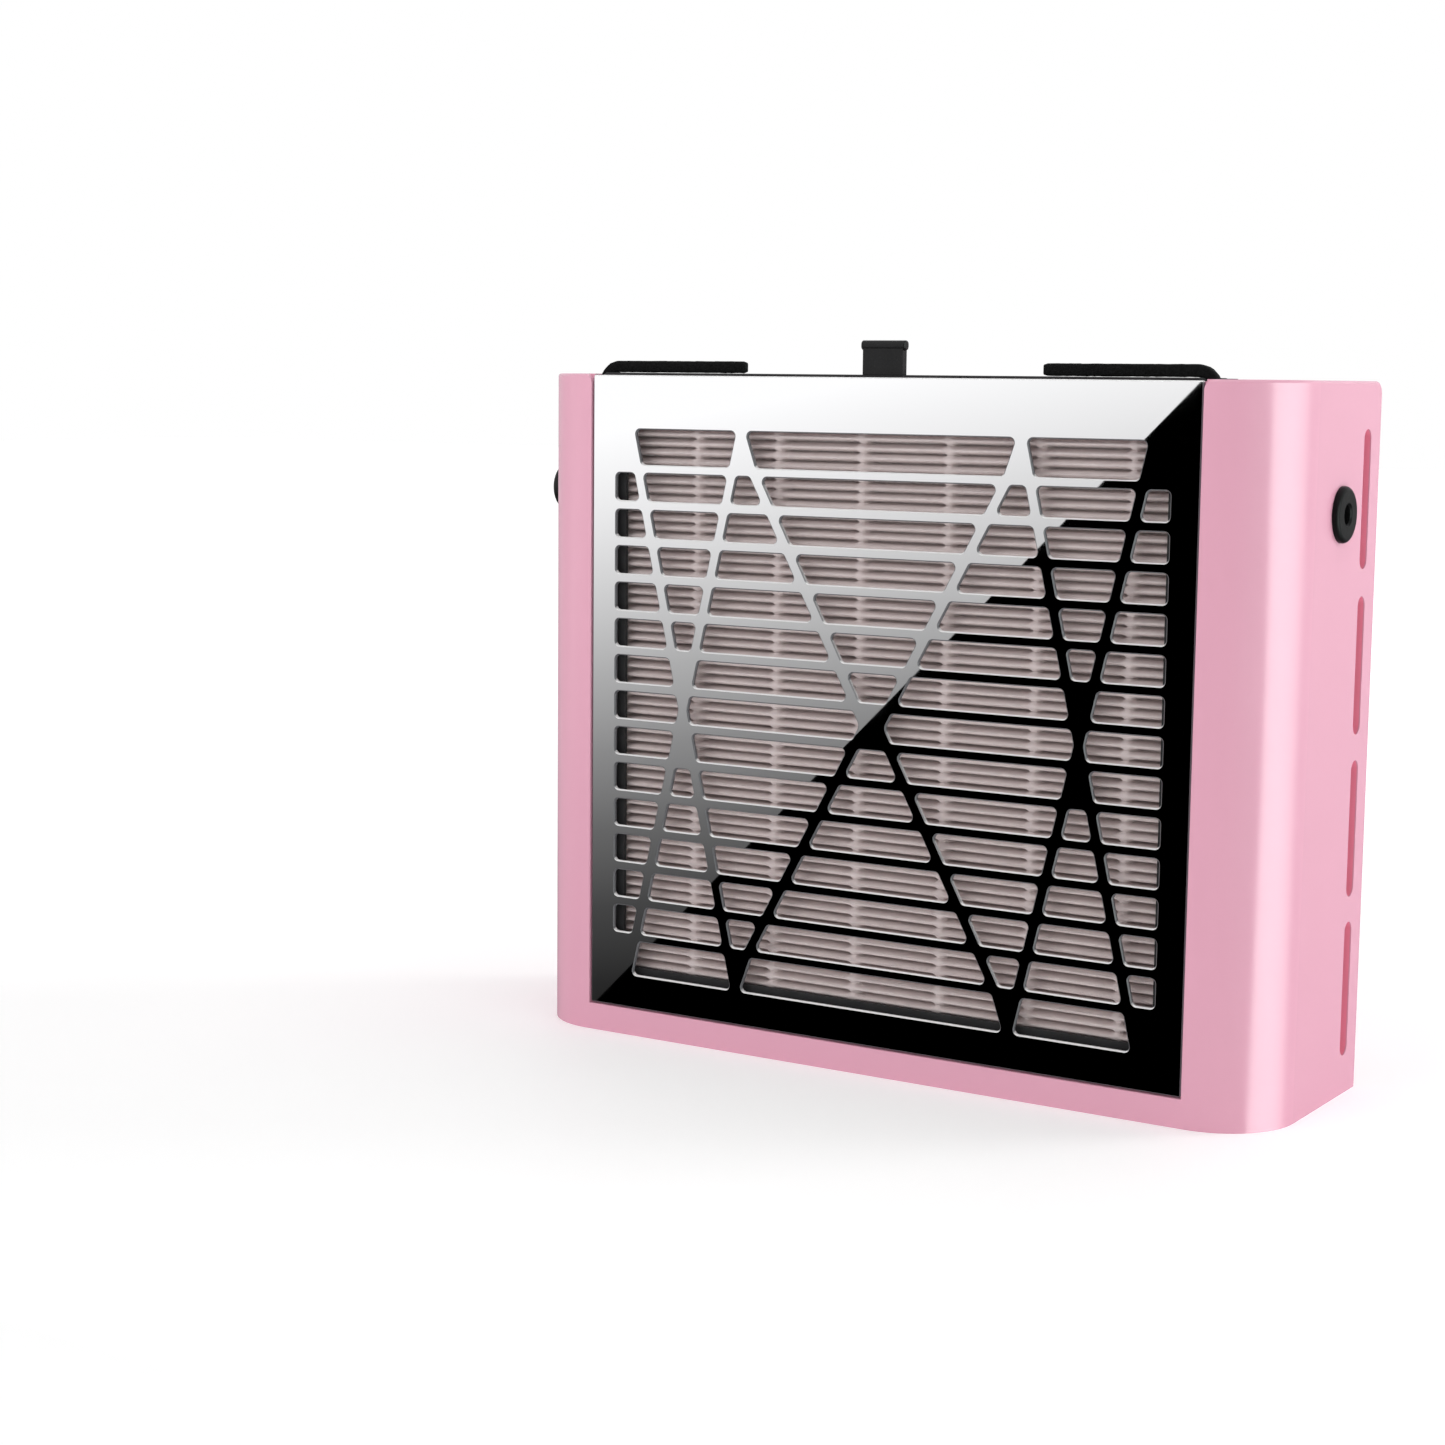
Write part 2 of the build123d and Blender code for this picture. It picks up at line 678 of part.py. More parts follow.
def blade_section(plane, radius, chord, rise, camber):
    """Blade profile at one radius: two arcs over a chord, rise being its height along the shaft."""
    along = sqrt(chord * chord - rise * rise)
    section = Plane(origin=(radius, 0, (CUP_W[0] + CUP_W[1]) / 2), x_dir=(0, 1, 0), z_dir=(1, 0, 0))
    start = (-along / 2, rise / 2)
    end = (along / 2, -rise / 2)
    normal = (rise / chord, along / chord)
    with BuildSketch(Plane(plane.location * section.location)) as profile:
        with BuildLine():
            ThreePointArc(start, (normal[0] * camber, normal[1] * camber), end)
            ThreePointArc(end, (normal[0] * (camber - BLADE_T), normal[1] * (camber - BLADE_T)), start)
        make_face()
    return profile.sketch


def make_impeller(name, plane):
    """Hub cup with its blades and the boss that grips the shaft."""
    with BuildPart(mode=Mode.PRIVATE) as blade:
        add(blade_section(plane, *BLADE_ROOT))
        add(blade_section(plane, *BLADE_TIP))
        loft()
    with BuildPart(mode=Mode.PRIVATE) as tip_trim:
        with BuildSketch(plane.offset(CUP_W[0])):
            Circle(IMPELLER_R)
            Circle(HUB_R - CUP_T / 2, mode=Mode.SUBTRACT)
        extrude(amount=CUP_W[1] - CUP_W[0])
    one_blade = blade.part & tip_trim.part
    boss_r, boss_h = SHAFT_BOSS
    with BuildPart() as impeller:
        with BuildSketch(plane.offset(CUP_W[0])):
            Circle(HUB_R)
        extrude(amount=CUP_W[1] - CUP_W[0])
        fillet(impeller.edges().filter_by(GeomType.CIRCLE).sort_by(Axis.Y)[0], CUP_EDGE_R)
        with BuildSketch(plane.offset(CUP_W[0] + CUP_T)):
            Circle(ROTOR_R)
        extrude(amount=CUP_W[1] - CUP_W[0] - CUP_T, mode=Mode.SUBTRACT)
        with BuildSketch(plane.offset(CUP_W[0] + CUP_T)):
            Circle(boss_r)
        extrude(amount=boss_h)
        with BuildSketch(plane.offset(CUP_W[0] + CUP_T / 2)):
            Circle(SHAFT_R)
        extrude(amount=CUP_T + boss_h, mode=Mode.SUBTRACT)
        for i in range(BLADES):
            add(one_blade.rotate(Axis(plane.origin, plane.z_dir), i * 360 / BLADES))
    finish(impeller, name)


def make_fan_inside(side, plane):
    """Shaft, bearings, rotor ring, stator and windings of one fan."""
    with BuildPart() as shaft:
        with BuildSketch(plane.offset(CUP_W[0] + CUP_T / 2)):
            Circle(SHAFT_R)
        extrude(amount=STRUT_W0 - CUP_W[0] - CUP_T)
    finish(shaft, f"fan_shaft_{side}")

    with BuildPart() as bearings:
        for w in BEARINGS_W:
            with BuildSketch(plane.offset(w)):
                Circle(BEARING_R)
                Circle(SHAFT_R + BEARING_GAP, mode=Mode.SUBTRACT)
            extrude(amount=BEARING_T)
    finish(bearings, f"fan_bearings_{side}")

    with BuildPart() as rotor:
        with BuildSketch(plane.offset(CUP_W[0] + CUP_T)):
            Circle(ROTOR_R)
            Circle(ROTOR_R - ROTOR_T, mode=Mode.SUBTRACT)
        extrude(amount=CUP_W[1] - CUP_W[0] - 2 * CUP_T)
    finish(rotor, f"rotor_ring_{side}")

    low, high = STATOR_W
    with BuildPart() as stator:
        with BuildSketch(plane.offset(low)):
            Circle(STATOR_R)
            Circle(STATOR_R - STATOR_RING, mode=Mode.SUBTRACT)
            with PolarLocations(STATOR_R, 4, 45):
                Rectangle(*STATOR_SLOT, mode=Mode.SUBTRACT)
            Rectangle(2 * STATOR_R - STATOR_RING, STATOR_ARM)
            Rectangle(STATOR_ARM, 2 * STATOR_R - STATOR_RING)
            Circle(TUBE_R + STATOR_RING)
            Circle(TUBE_R, mode=Mode.SUBTRACT)
        extrude(amount=high - low)
    finish(stator, f"fan_stator_{side}")

    with BuildPart() as windings:
        with BuildSketch(plane.offset(low - WINDING_OVER)):
            with PolarLocations(WINDING_R, 4):
                Rectangle(*WINDING)
        extrude(amount=high - low + 2 * WINDING_OVER)
        fillet(windings.edges().filter_by(Axis.Y), WINDING_EDGE_R)
        with BuildSketch(plane.offset(low)):
            with PolarLocations(WINDING_R, 4):
                Rectangle(WINDING[0] + 1, STATOR_ARM)
        extrude(amount=high - low, mode=Mode.SUBTRACT)
    finish(windings, f"fan_windings_{side}")


# ================================================================ cassette
def make_cassette_frame():
    """Flat front frame of the filter cassette."""
    z0, z1 = CASSETTE_Z
    width = 2 * CASSETTE_HALF_W
    with BuildPart() as frame:
        with BuildSketch(front_plane(CASSETTE_Y)):
            with Locations((0, (z0 + z1) / 2)):
                RectangleRounded(width, z1 - z0, FRAME_CORNER_R)
            with Locations((0, z0 + FRAME_BOTTOM)):
                Rectangle(
                    width - 2 * FRAME_SIDE,
                    z1 - z0 - FRAME_BOTTOM - FRAME_BORDER,
                    align=(Align.CENTER, Align.MIN),
                    mode=Mode.SUBTRACT,
                )
        extrude(amount=-FRAME_T)
        front = frame.faces().sort_by(Axis.Y)[0]
        chamfer(front.outer_wire().edges(), FRAME_EDGE)
    finish(frame, "cassette_frame")


def make_carton():
    """The four walls that hold the pleats, with a rear flange."""
    z0, z1 = CASSETTE_Z
    width = 2 * CASSETTE_HALF_W
    front = CASSETTE_Y + FRAME_T
    with BuildPart() as carton:
        with BuildSketch(front_plane(front)):
            with Locations((0, (z0 + z1) / 2)):
                RectangleRounded(width, z1 - z0, FRAME_CORNER_R)
                Rectangle(width - 2 * CARTON_T, z1 - z0 - 2 * CARTON_T, mode=Mode.SUBTRACT)
        extrude(amount=-(CASSETTE_BACK_Y - front))
        with BuildSketch(front_plane(CASSETTE_BACK_Y)):
            with Locations((0, (z0 + z1) / 2)):
                RectangleRounded(width, z1 - z0, FRAME_CORNER_R)
                Rectangle(width - 2 * FRAME_BORDER, z1 - z0 - 2 * FRAME_BORDER, mode=Mode.SUBTRACT)
        extrude(amount=FRAME_T)
    finish(carton, "cassette_carton")


def make_foam_seal():
    """Foam strip round the cassette's sides and bottom, and two thin shoulders folded over its top."""
    z0, z1 = CASSETTE_Z
    low = z0 - FOAM_T
    full_h = FOAM_TOP_Z - low
    with BuildPart() as foam:
        with BuildSketch(front_plane(FOAM_Y[0])) as strip:
            with Locations((0, (low + FOAM_TOP_Z) / 2)):
                RectangleRounded(2 * (CASSETTE_HALF_W + FOAM_T), full_h, FOAM_CORNER_R)
            with Locations((0, z0)):
                Rectangle(
                    2 * CASSETTE_HALF_W,
                    z1 - z0,
                    align=(Align.CENTER, Align.MIN),
                    mode=Mode.SUBTRACT,
                )
            with Locations((0, z1)):
                Rectangle(
                    2 * SHOULDER_X,
                    FOAM_TOP_Z - z1,
                    align=(Align.CENTER, Align.MIN),
                    mode=Mode.SUBTRACT,
                )
        extrude(strip.sketch, amount=-SHOULDER_T)
        with BuildSketch(front_plane(FOAM_Y[0])):
            add(strip.sketch)
            with Locations((0, z1)):
                Rectangle(BODY_W, FOAM_TOP_Z - z1, align=(Align.CENTER, Align.MIN), mode=Mode.SUBTRACT)
        extrude(amount=-(FOAM_Y[1] - FOAM_Y[0]))
    finish(foam, "foam_seal")


def make_media():
    """Pleated filter sheet: one strip folded to and fro, with blunt folds."""
    z0, z1 = CASSETTE_Z
    front, back = PLEAT_Y
    low = z0 + CARTON_T + PLEAT_END_GAP
    count = int((z1 - CARTON_T - PLEAT_END_GAP - low) / PLEAT_PITCH)
    half_w = CASSETTE_HALF_W - CARTON_T
    front_side = []
    back_side = []
    for i in range(count + 1):
        z = low + i * PLEAT_PITCH
        front_side += [(front, z - FOLD_HALF), (front, z + FOLD_HALF)]
        back_side.append((front + FOLD_DEPTH, z))
        if i < count:
            middle = z + PLEAT_PITCH / 2
            front_side.append((back - FOLD_DEPTH, middle))
            back_side += [(back, middle - FOLD_HALF), (back, middle + FOLD_HALF)]
    front_side = front_side[1:-1]
    with BuildPart() as media:
        with BuildSketch(Plane.YZ.offset(-half_w)):
            Polygon(*front_side, *back_side[::-1], align=None)
        extrude(amount=2 * half_w)
    finish(media, "pleated_filter")
    return low, count


def make_glue_beads(low, count):
    """Hot-melt beads that keep the pleats apart, across their folds on both faces."""
    top = low + count * PLEAT_PITCH
    beads_each_side = int(CASSETTE_HALF_W / GLUE_PITCH)
    with BuildPart() as beads:
        for y in (PLEAT_Y[0] - GLUE_T, PLEAT_Y[1]):
            with BuildSketch(facing_back(GLUE_X, y, (low + top) / 2)):
                with GridLocations(GLUE_PITCH, 1, 2 * beads_each_side + 1, 1):
                    Rectangle(GLUE_W, top - low)
            extrude(amount=GLUE_T)
    finish(beads, "glue_beads")


def make_pull_tab():
    """Tab with a beaded lip that lifts the cassette."""
    z1 = CASSETTE_Z[1]
    bead_z = TAB_TOP_Z - TAB_BEAD_H / 2
    with BuildPart() as tab:
        with BuildSketch(front_plane(CASSETTE_Y)):
            with Locations((0, z1)):
                Rectangle(TAB_W, bead_z - z1, align=(Align.CENTER, Align.MIN))
        extrude(amount=-TAB_T)
        with BuildSketch(Plane.YZ.offset(-TAB_BEAD_W / 2)):
            with Locations((CASSETTE_Y + TAB_T / 2, bead_z)):
                RectangleRounded(TAB_BEAD_T, TAB_BEAD_H, TAB_BEAD_R)
        extrude(amount=TAB_BEAD_W)
        ends = tab.faces().filter_by(Plane.YZ).group_by(Axis.Z)[-1]
        fillet(ends.edges(), TAB_END_R)
    finish(tab, "pull_tab")


# ================================================================ speed control
def make_knob():
    """Speed knob, hollow underneath round the nut, with a pointer groove on its face."""
    cavity_r, cavity_depth = KNOB_CAVITY
    pointer_l, pointer_w, pointer_depth = KNOB_POINTER
    with BuildPart() as knob:
        with BuildSketch(Plane.YZ.offset(KNOB_TIP_X)):
            with Locations((CONTROL_Y, CONTROL_Z)):
                Circle(KNOB_R)
        extrude(amount=KNOB_BASE_X - KNOB_TIP_X)
        fillet(knob.edges().filter_by(GeomType.CIRCLE).sort_by(Axis.X)[0], KNOB_TIP_R)
        fillet(knob.edges().filter_by(GeomType.CIRCLE).sort_by(Axis.X)[-1], KNOB_BASE_R)
        with BuildSketch(Plane.YZ.offset(KNOB_BASE_X)):
            with Locations((CONTROL_Y, CONTROL_Z)):
                Circle(cavity_r)
        extrude(amount=-cavity_depth, mode=Mode.SUBTRACT)
        with BuildSketch(Plane.YZ.offset(KNOB_BASE_X)):
            with Locations((CONTROL_Y, CONTROL_Z)):
                Circle(POT_SHAFT_R)
        extrude(amount=-(KNOB_BASE_X - KNOB_TIP_X - KNOB_CAP_T), mode=Mode.SUBTRACT)
        with BuildSketch(Plane.YZ.offset(KNOB_TIP_X)):
            with Locations((CONTROL_Y, CONTROL_Z + KNOB_POINTER_R)):
                SlotOverall(pointer_l, pointer_w, rotation=90)
        extrude(amount=pointer_depth, mode=Mode.SUBTRACT)
    finish(knob, "speed_knob")


def make_pot():
    """Potentiometer body with its threaded bushing, its shaft, washer and nut."""
    inner_x = -HALF_W + WALL
    tags_y, tags_z, tags_x = POT_TAGS
    with BuildPart() as pot:
        with BuildSketch(Plane.YZ.offset(inner_x)):
            with Locations((CONTROL_Y, CONTROL_Z)):
                Circle(POT_R)
        extrude(amount=POT_DEPTH)
        with BuildSketch(Plane.YZ.offset(BUSHING_TIP_X)):
            with Locations((CONTROL_Y, CONTROL_Z)):
                Circle(BUSHING_R)
        extrude(amount=inner_x - BUSHING_TIP_X)
        with BuildSketch(Plane.YZ.offset(BUSHING_TIP_X)):
            with Locations((CONTROL_Y, CONTROL_Z)):
                Circle(POT_BORE_R)
        extrude(amount=inner_x - BUSHING_TIP_X + POT_BORE_DEPTH, mode=Mode.SUBTRACT)
        # tongue with the solder tags, below the body
        with BuildSketch(Plane.YZ.offset(inner_x + POT_TAGS_IN)):
            with Locations((CONTROL_Y, CONTROL_Z - POT_TAGS_DROP)):
                Rectangle(tags_y, tags_z)
        extrude(amount=tags_x)
    finish(pot, "speed_pot")

    with BuildPart() as shaft:
        with BuildSketch(Plane.YZ.offset(KNOB_TIP_X + KNOB_CAP_T)):
            with Locations((CONTROL_Y, CONTROL_Z)):
                Circle(POT_SHAFT_R)
        extrude(amount=inner_x + POT_BORE_DEPTH - SHAFT_END_GAP - KNOB_TIP_X - KNOB_CAP_T)
    finish(shaft, "pot_shaft")

    with BuildPart() as washer:
        with BuildSketch(Plane.YZ.offset(-HALF_W)):
            with Locations((CONTROL_Y, CONTROL_Z)):
                Circle(WASHER_R)
                Circle(BUSHING_R, mode=Mode.SUBTRACT)
        extrude(amount=-WASHER_T)
    finish(washer, "pot_washer")

    with BuildPart() as nut:
        with BuildSketch(Plane.YZ.offset(-HALF_W - WASHER_T)):
            with Locations((CONTROL_Y, CONTROL_Z)):
                RegularPolygon(NUT_R, 6, major_radius=False)
                Circle(BUSHING_R, mode=Mode.SUBTRACT)
        extrude(amount=-NUT_T)
    finish(nut, "pot_nut")


# ================================================================ power inlet
def make_jack():
    """Barrel inlet: round bezel outside, threaded barrel, rear housing, centre pin and nut."""
    with BuildPart() as jack:
        with BuildSketch(Plane.YZ.offset(HALF_W)):
            with Locations((CONTROL_Y, CONTROL_Z)):
                Circle(JACK_BEZEL_R)
        extrude(amount=JACK_LIP)
        fillet(jack.edges().filter_by(GeomType.CIRCLE).sort_by(Axis.X)[-1], JACK_LIP_R)
        with BuildSketch(Plane.YZ.offset(HALF_W)):
            with Locations((CONTROL_Y, CONTROL_Z)):
                Circle(JACK_BARREL_R)
        extrude(amount=-(HALF_W - JACK_BODY_X))
        with BuildSketch(Plane.YZ.offset(HALF_W + JACK_LIP)):
            with Locations((CONTROL_Y, CONTROL_Z)):
                Circle(JACK_HOLE_R)
        extrude(amount=-(JACK_LIP + JACK_DEPTH), mode=Mode.SUBTRACT)
        mouth = jack.edges().filter_by(GeomType.CIRCLE).group_by(Axis.X)[-1].sort_by(SortBy.RADIUS)[0]
        chamfer(mouth, JACK_MOUTH)
    finish(jack, "dc_jack")

    with BuildPart() as pin:
        with BuildSketch(Plane.YZ.offset(HALF_W - JACK_DEPTH)):
            with Locations((CONTROL_Y, CONTROL_Z)):
                Circle(JACK_PIN_R)
        extrude(amount=JACK_DEPTH - CUT)
        fillet(pin.edges().filter_by(GeomType.CIRCLE).sort_by(Axis.X)[-1], JACK_PIN_TIP_R)
    finish(pin, "jack_pin")

    with BuildPart() as nut:
        with BuildSketch(Plane.YZ.offset(HALF_W - WALL)):
            with Locations((CONTROL_Y, CONTROL_Z)):
                RegularPolygon(JACK_NUT_R, 6, major_radius=False)
                Circle(JACK_BARREL_R, mode=Mode.SUBTRACT)
        extrude(amount=-JACK_NUT_T)
    finish(nut, "jack_nut")


# ================================================================ control board and wiring
def make_board():
    """Circuit board with its capacitors, wire connectors, motor driver and heat sink."""
    with BuildPart() as board:
        with BuildSketch(front_plane(BOARD_Y)):
            with Locations((BOARD_X, BOARD_Z)):
                RectangleRounded(BOARD_W, BOARD_H, BOARD_CORNER_R)
            for x, z in board_hole_places():
                with Locations((x, z)):
                    Circle(SCREW_R + SCREW_GAP, mode=Mode.SUBTRACT)
        extrude(amount=-BOARD_T)
    finish(board, "control_board")

    with BuildPart() as capacitors:
        for x, z, radius in CAPACITORS:
            with BuildSketch(facing_back(x, BOARD_BACK_Y, z)):
                Circle(radius)
            extrude(amount=CAPACITOR_H)
        fillet(capacitors.faces().group_by(Axis.Y)[-1].edges(), CAPACITOR_EDGE_R)
    finish(capacitors, "board_capacitors")

    width, depth, height = CONNECTOR
    with BuildPart() as connectors:
        for x, z in (POWER_CONNECTOR, RIGHT_FAN_CONNECTOR, LEFT_FAN_CONNECTOR, POT_CONNECTOR):
            with BuildSketch(facing_back(x, BOARD_BACK_Y, z)):
                Rectangle(width, height)
            extrude(amount=depth)
    finish(connectors, "board_connectors")

    with BuildPart() as driver:
        with BuildSketch(facing_back(DRIVER[0], BOARD_BACK_Y, DRIVER[1])):
            Rectangle(DRIVER_SIZE[0], DRIVER_SIZE[1])
        extrude(amount=DRIVER_SIZE[2])
    finish(driver, "driver_transistor")

    with BuildPart() as sink:
        with BuildSketch(facing_back(DRIVER[0], BOARD_BACK_Y, SINK_Z)):
            Rectangle(SINK_SIZE[0], SINK_SIZE[1])
            with Locations((0, -(SINK_SIZE[1] + SINK_FIN[1]) / 2)):
                with GridLocations(SINK_FIN_PITCH, 1, SINK_FINS, 1):
                    Rectangle(*SINK_FIN)
        extrude(amount=SINK_SIZE[2])
    finish(sink, "heat_sink")


def make_lead(name, points, radii):
    """One sleeved wire pair along straight runs joined by tangent arcs."""
    with BuildPart() as lead:
        with BuildLine() as path:
            FilletPolyline(*points, radius=radii)
        with BuildSketch(Plane(origin=path.line @ 0, z_dir=path.line % 0)):
            Circle(LEAD_R)
        sweep()
    finish(lead, name)


def make_leads():
    """The wiring between the board, the two fans, the pot and the power inlet."""
    lead_y = BOARD_BACK_Y + CONNECTOR[1] / 2
    fan_y = DECK_BACK_Y + FAN_T - 2
    fan_top = FAN_Z + FAN_SIZE / 2
    half_x = CONNECTOR[0] / 2
    x, z = LEFT_FAN_CONNECTOR
    make_lead(
        "fan_lead_left",
        [(x - 24, fan_y, fan_top), (x - 24, fan_y, fan_top + 17), (x - 20, 4.0, z), (x - 11, lead_y, z),
         (x - half_x, lead_y, z)],
        [6.6, 6.6, 12.0],
    )
    x, z = RIGHT_FAN_CONNECTOR
    make_lead(
        "fan_lead_right",
        [(46.0, fan_y, fan_top), (46.0, fan_y, fan_top + 14), (14.0, 8.0, 176.0), (-12.0, lead_y, 180.0),
         (x + half_x + 16, lead_y, z), (x + half_x, lead_y, z)],
        [8.0, 14.0, 12.0, 8.0],
    )
    x, z = POWER_CONNECTOR
    make_lead(
        "power_lead",
        [(JACK_BODY_X, CONTROL_Y, CONTROL_Z), (94.0, CONTROL_Y, CONTROL_Z), (68.0, 4.0, 168.0),
         (22.0, 3.0, 167.0), (-14.0, lead_y, 172.0), (x + half_x + 12, lead_y, z), (x + half_x, lead_y, z)],
        [14.0, 20.0, 30.0, 20.0, 8.0],
    )
    x, z = POT_CONNECTOR
    make_lead(
        "pot_lead",
        [(-HALF_W + WALL + POT_DEPTH, CONTROL_Y, CONTROL_Z), (-111.0, CONTROL_Y, CONTROL_Z),
         (-100.0, lead_y, z), (x - half_x, lead_y, z)],
        6.6,
    )


make_shell()
make_back_cover()
make_screws("back_cover_screws", cover_screw_places(), BACK_Y - HEAD_H, COVER_SCREW_L)
make_feet()
make_grille()
make_tape()
make_deck()
make_screws("fan_deck_screws", DECK_BOSSES, DECK_BACK_Y, DECK_SCREW_L)
for side, centre in (("left", FAN_CENTRES[0]), ("right", FAN_CENTRES[1])):
    fan_plane = facing_back(centre[0], DECK_BACK_Y, centre[1])
    make_fan_frame(f"fan_frame_{side}", fan_plane)
    make_impeller(f"impeller_{side}", fan_plane)
    make_fan_inside(side, fan_plane)
make_screws("fan_screws", fan_hole_places(), DECK_BACK_Y + FLANGE_T, FLANGE_T + DECK_T, *FAN_HEAD)
make_cassette_frame()
make_carton()
make_foam_seal()
media_low, pleat_count = make_media()
make_glue_beads(media_low, pleat_count)
make_pull_tab()
make_knob()
make_pot()
make_jack()
make_board()
make_screws("board_screws", board_hole_places(), BOARD_BACK_Y, BOARD_SCREW_L, *BOARD_HEAD)
make_leads()
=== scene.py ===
import json
import math

import bmesh
import bpy
from mathutils import Matrix, Vector, noise


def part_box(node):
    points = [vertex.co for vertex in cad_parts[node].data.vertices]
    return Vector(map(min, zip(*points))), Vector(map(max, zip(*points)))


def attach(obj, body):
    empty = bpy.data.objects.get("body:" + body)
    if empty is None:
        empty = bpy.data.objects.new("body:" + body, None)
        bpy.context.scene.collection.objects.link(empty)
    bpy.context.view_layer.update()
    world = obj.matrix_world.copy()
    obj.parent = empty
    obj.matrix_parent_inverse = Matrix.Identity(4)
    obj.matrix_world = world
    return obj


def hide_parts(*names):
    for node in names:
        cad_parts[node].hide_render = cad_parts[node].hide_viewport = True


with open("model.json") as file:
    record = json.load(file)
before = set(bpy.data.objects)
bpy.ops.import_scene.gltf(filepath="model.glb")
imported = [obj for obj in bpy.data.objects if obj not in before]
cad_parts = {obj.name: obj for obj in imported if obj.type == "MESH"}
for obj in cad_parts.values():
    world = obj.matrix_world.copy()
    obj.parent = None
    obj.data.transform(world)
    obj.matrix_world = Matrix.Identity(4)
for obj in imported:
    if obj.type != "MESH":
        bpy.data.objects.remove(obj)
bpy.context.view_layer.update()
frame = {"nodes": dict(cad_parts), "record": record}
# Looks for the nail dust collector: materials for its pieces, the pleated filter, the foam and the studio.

MM = 0.001
NODES = frame["nodes"]

# ------------------------------------------------------------------ camera
CAMERA_SPOT = Vector((0.3994, -0.7410, 0.2135))
CAMERA_TURN = math.radians(32.80)
CAMERA_DROP = math.radians(7.32)
CAMERA_ROLL = math.radians(0.59)
CAMERA_LENS = 66.51


def make_camera():
    data = bpy.data.cameras.new("camera")
    data.lens = CAMERA_LENS
    data.sensor_width = 36.0
    data.clip_start = 0.01
    camera = bpy.data.objects.new("camera", data)
    bpy.context.scene.collection.objects.link(camera)
    aim = Matrix.Rotation(CAMERA_TURN, 4, "Z") @ Matrix.Rotation(math.radians(90) - CAMERA_DROP, 4, "X")
    camera.matrix_world = Matrix.Translation(CAMERA_SPOT) @ aim @ Matrix.Rotation(CAMERA_ROLL, 4, "Z")
    bpy.context.scene.camera = camera


# ------------------------------------------------------------------ material building
def new_material(name, color, roughness, **sockets):
    """A Principled material; sockets holds other uniform values by socket name."""
    material = bpy.data.materials.new(name)
    material.use_nodes = True
    shader = material.node_tree.nodes["Principled BSDF"]
    shader.inputs["Base Color"].default_value = (*color, 1.0)
    shader.inputs["Roughness"].default_value = roughness
    for socket, value in sockets.items():
        shader.inputs[socket.replace("_", " ")].default_value = value
    return material


def shader_of(material):
    return material.node_tree.nodes["Principled BSDF"]


def noise_node(material, scale, detail=3.0, stretch=(1.0, 1.0, 1.0)):
    """Noise in the object's own coordinates; scale is in features per metre."""
    tree = material.node_tree
    coords = tree.nodes.new("ShaderNodeTexCoord")
    mapping = tree.nodes.new("ShaderNodeMapping")
    mapping.inputs["Scale"].default_value = stretch
    texture = tree.nodes.new("ShaderNodeTexNoise")
    texture.inputs["Scale"].default_value = scale
    texture.inputs["Detail"].default_value = detail
    tree.links.new(coords.outputs["Object"], mapping.inputs["Vector"])
    tree.links.new(mapping.outputs["Vector"], texture.inputs["Vector"])
    return texture


def vary_color(material, low, high, scale, detail=3.0, stretch=(1.0, 1.0, 1.0)):
    """Base colour wanders between two colours."""
    tree = material.node_tree
    texture = noise_node(material, scale, detail, stretch)
    ramp = tree.nodes.new("ShaderNodeValToRGB")
    ramp.color_ramp.elements[0].position = 0.3
    ramp.color_ramp.elements[1].position = 0.7
    ramp.color_ramp.elements[0].color = (*low, 1.0)
    ramp.color_ramp.elements[1].color = (*high, 1.0)
    tree.links.new(texture.outputs["Fac"], ramp.inputs["Fac"])
    tree.links.new(ramp.outputs["Color"], shader_of(material).inputs["Base Color"])


def vary_roughness(material, low, high, scale, stretch=(1.0, 1.0, 1.0)):
    tree = material.node_tree
    texture = noise_node(material, scale, 4.0, stretch)
    spread = tree.nodes.new("ShaderNodeMapRange")
    spread.inputs["From Min"].default_value = 0.3
    spread.inputs["From Max"].default_value = 0.7
    spread.inputs["To Min"].default_value = low
    spread.inputs["To Max"].default_value = high
    tree.links.new(texture.outputs["Fac"], spread.inputs["Value"])
    tree.links.new(spread.outputs["Result"], shader_of(material).inputs["Roughness"])


def spread_value(material, source, low, high, to_low, to_high):
    """Maps a value from low..high to to_low..to_high, clamped."""
    node = material.node_tree.nodes.new("ShaderNodeMapRange")
    for socket, value in (("From Min", low), ("From Max", high), ("To Min", to_low), ("To Max", to_high)):
        node.inputs[socket].default_value = value
    material.node_tree.links.new(source, node.inputs["Value"])
    return node


def distance_from(material, source, place):
    """How far a coordinate is from a place along its axis."""
    tree = material.node_tree
    gap = tree.nodes.new("ShaderNodeMath")
    gap.operation = "SUBTRACT"
    gap.inputs[1].default_value = place
    tree.links.new(source, gap.inputs[0])
    size = tree.nodes.new("ShaderNodeMath")
    size.operation = "ABSOLUTE"
    tree.links.new(gap.outputs["Value"], size.inputs[0])
    return size.outputs["Value"]


def mix_color_socket(node, name):
    """The colour socket of a Mix node; its float, vector and colour sockets share their names."""
    sockets = node.outputs if name == "Result" else node.inputs
    return next(socket for socket in sockets if socket.name == name and socket.type == "RGBA")


def blend_colors(material, factor, color_a, color_b):
    """Mixes two colours by a factor node; a colour left as None is linked by the caller."""
    node = material.node_tree.nodes.new("ShaderNodeMix")
    node.data_type = "RGBA"
    for socket, color in (("A", color_a), ("B", color_b)):
        if color is not None:
            mix_color_socket(node, socket).default_value = (*color, 1.0)
    factor_sockets = [socket for socket in node.inputs if socket.name == "Factor"]
    number = next(socket for socket in factor_sockets if socket.type == "VALUE")
    material.node_tree.links.new(factor.outputs["Result"], number)
    return node


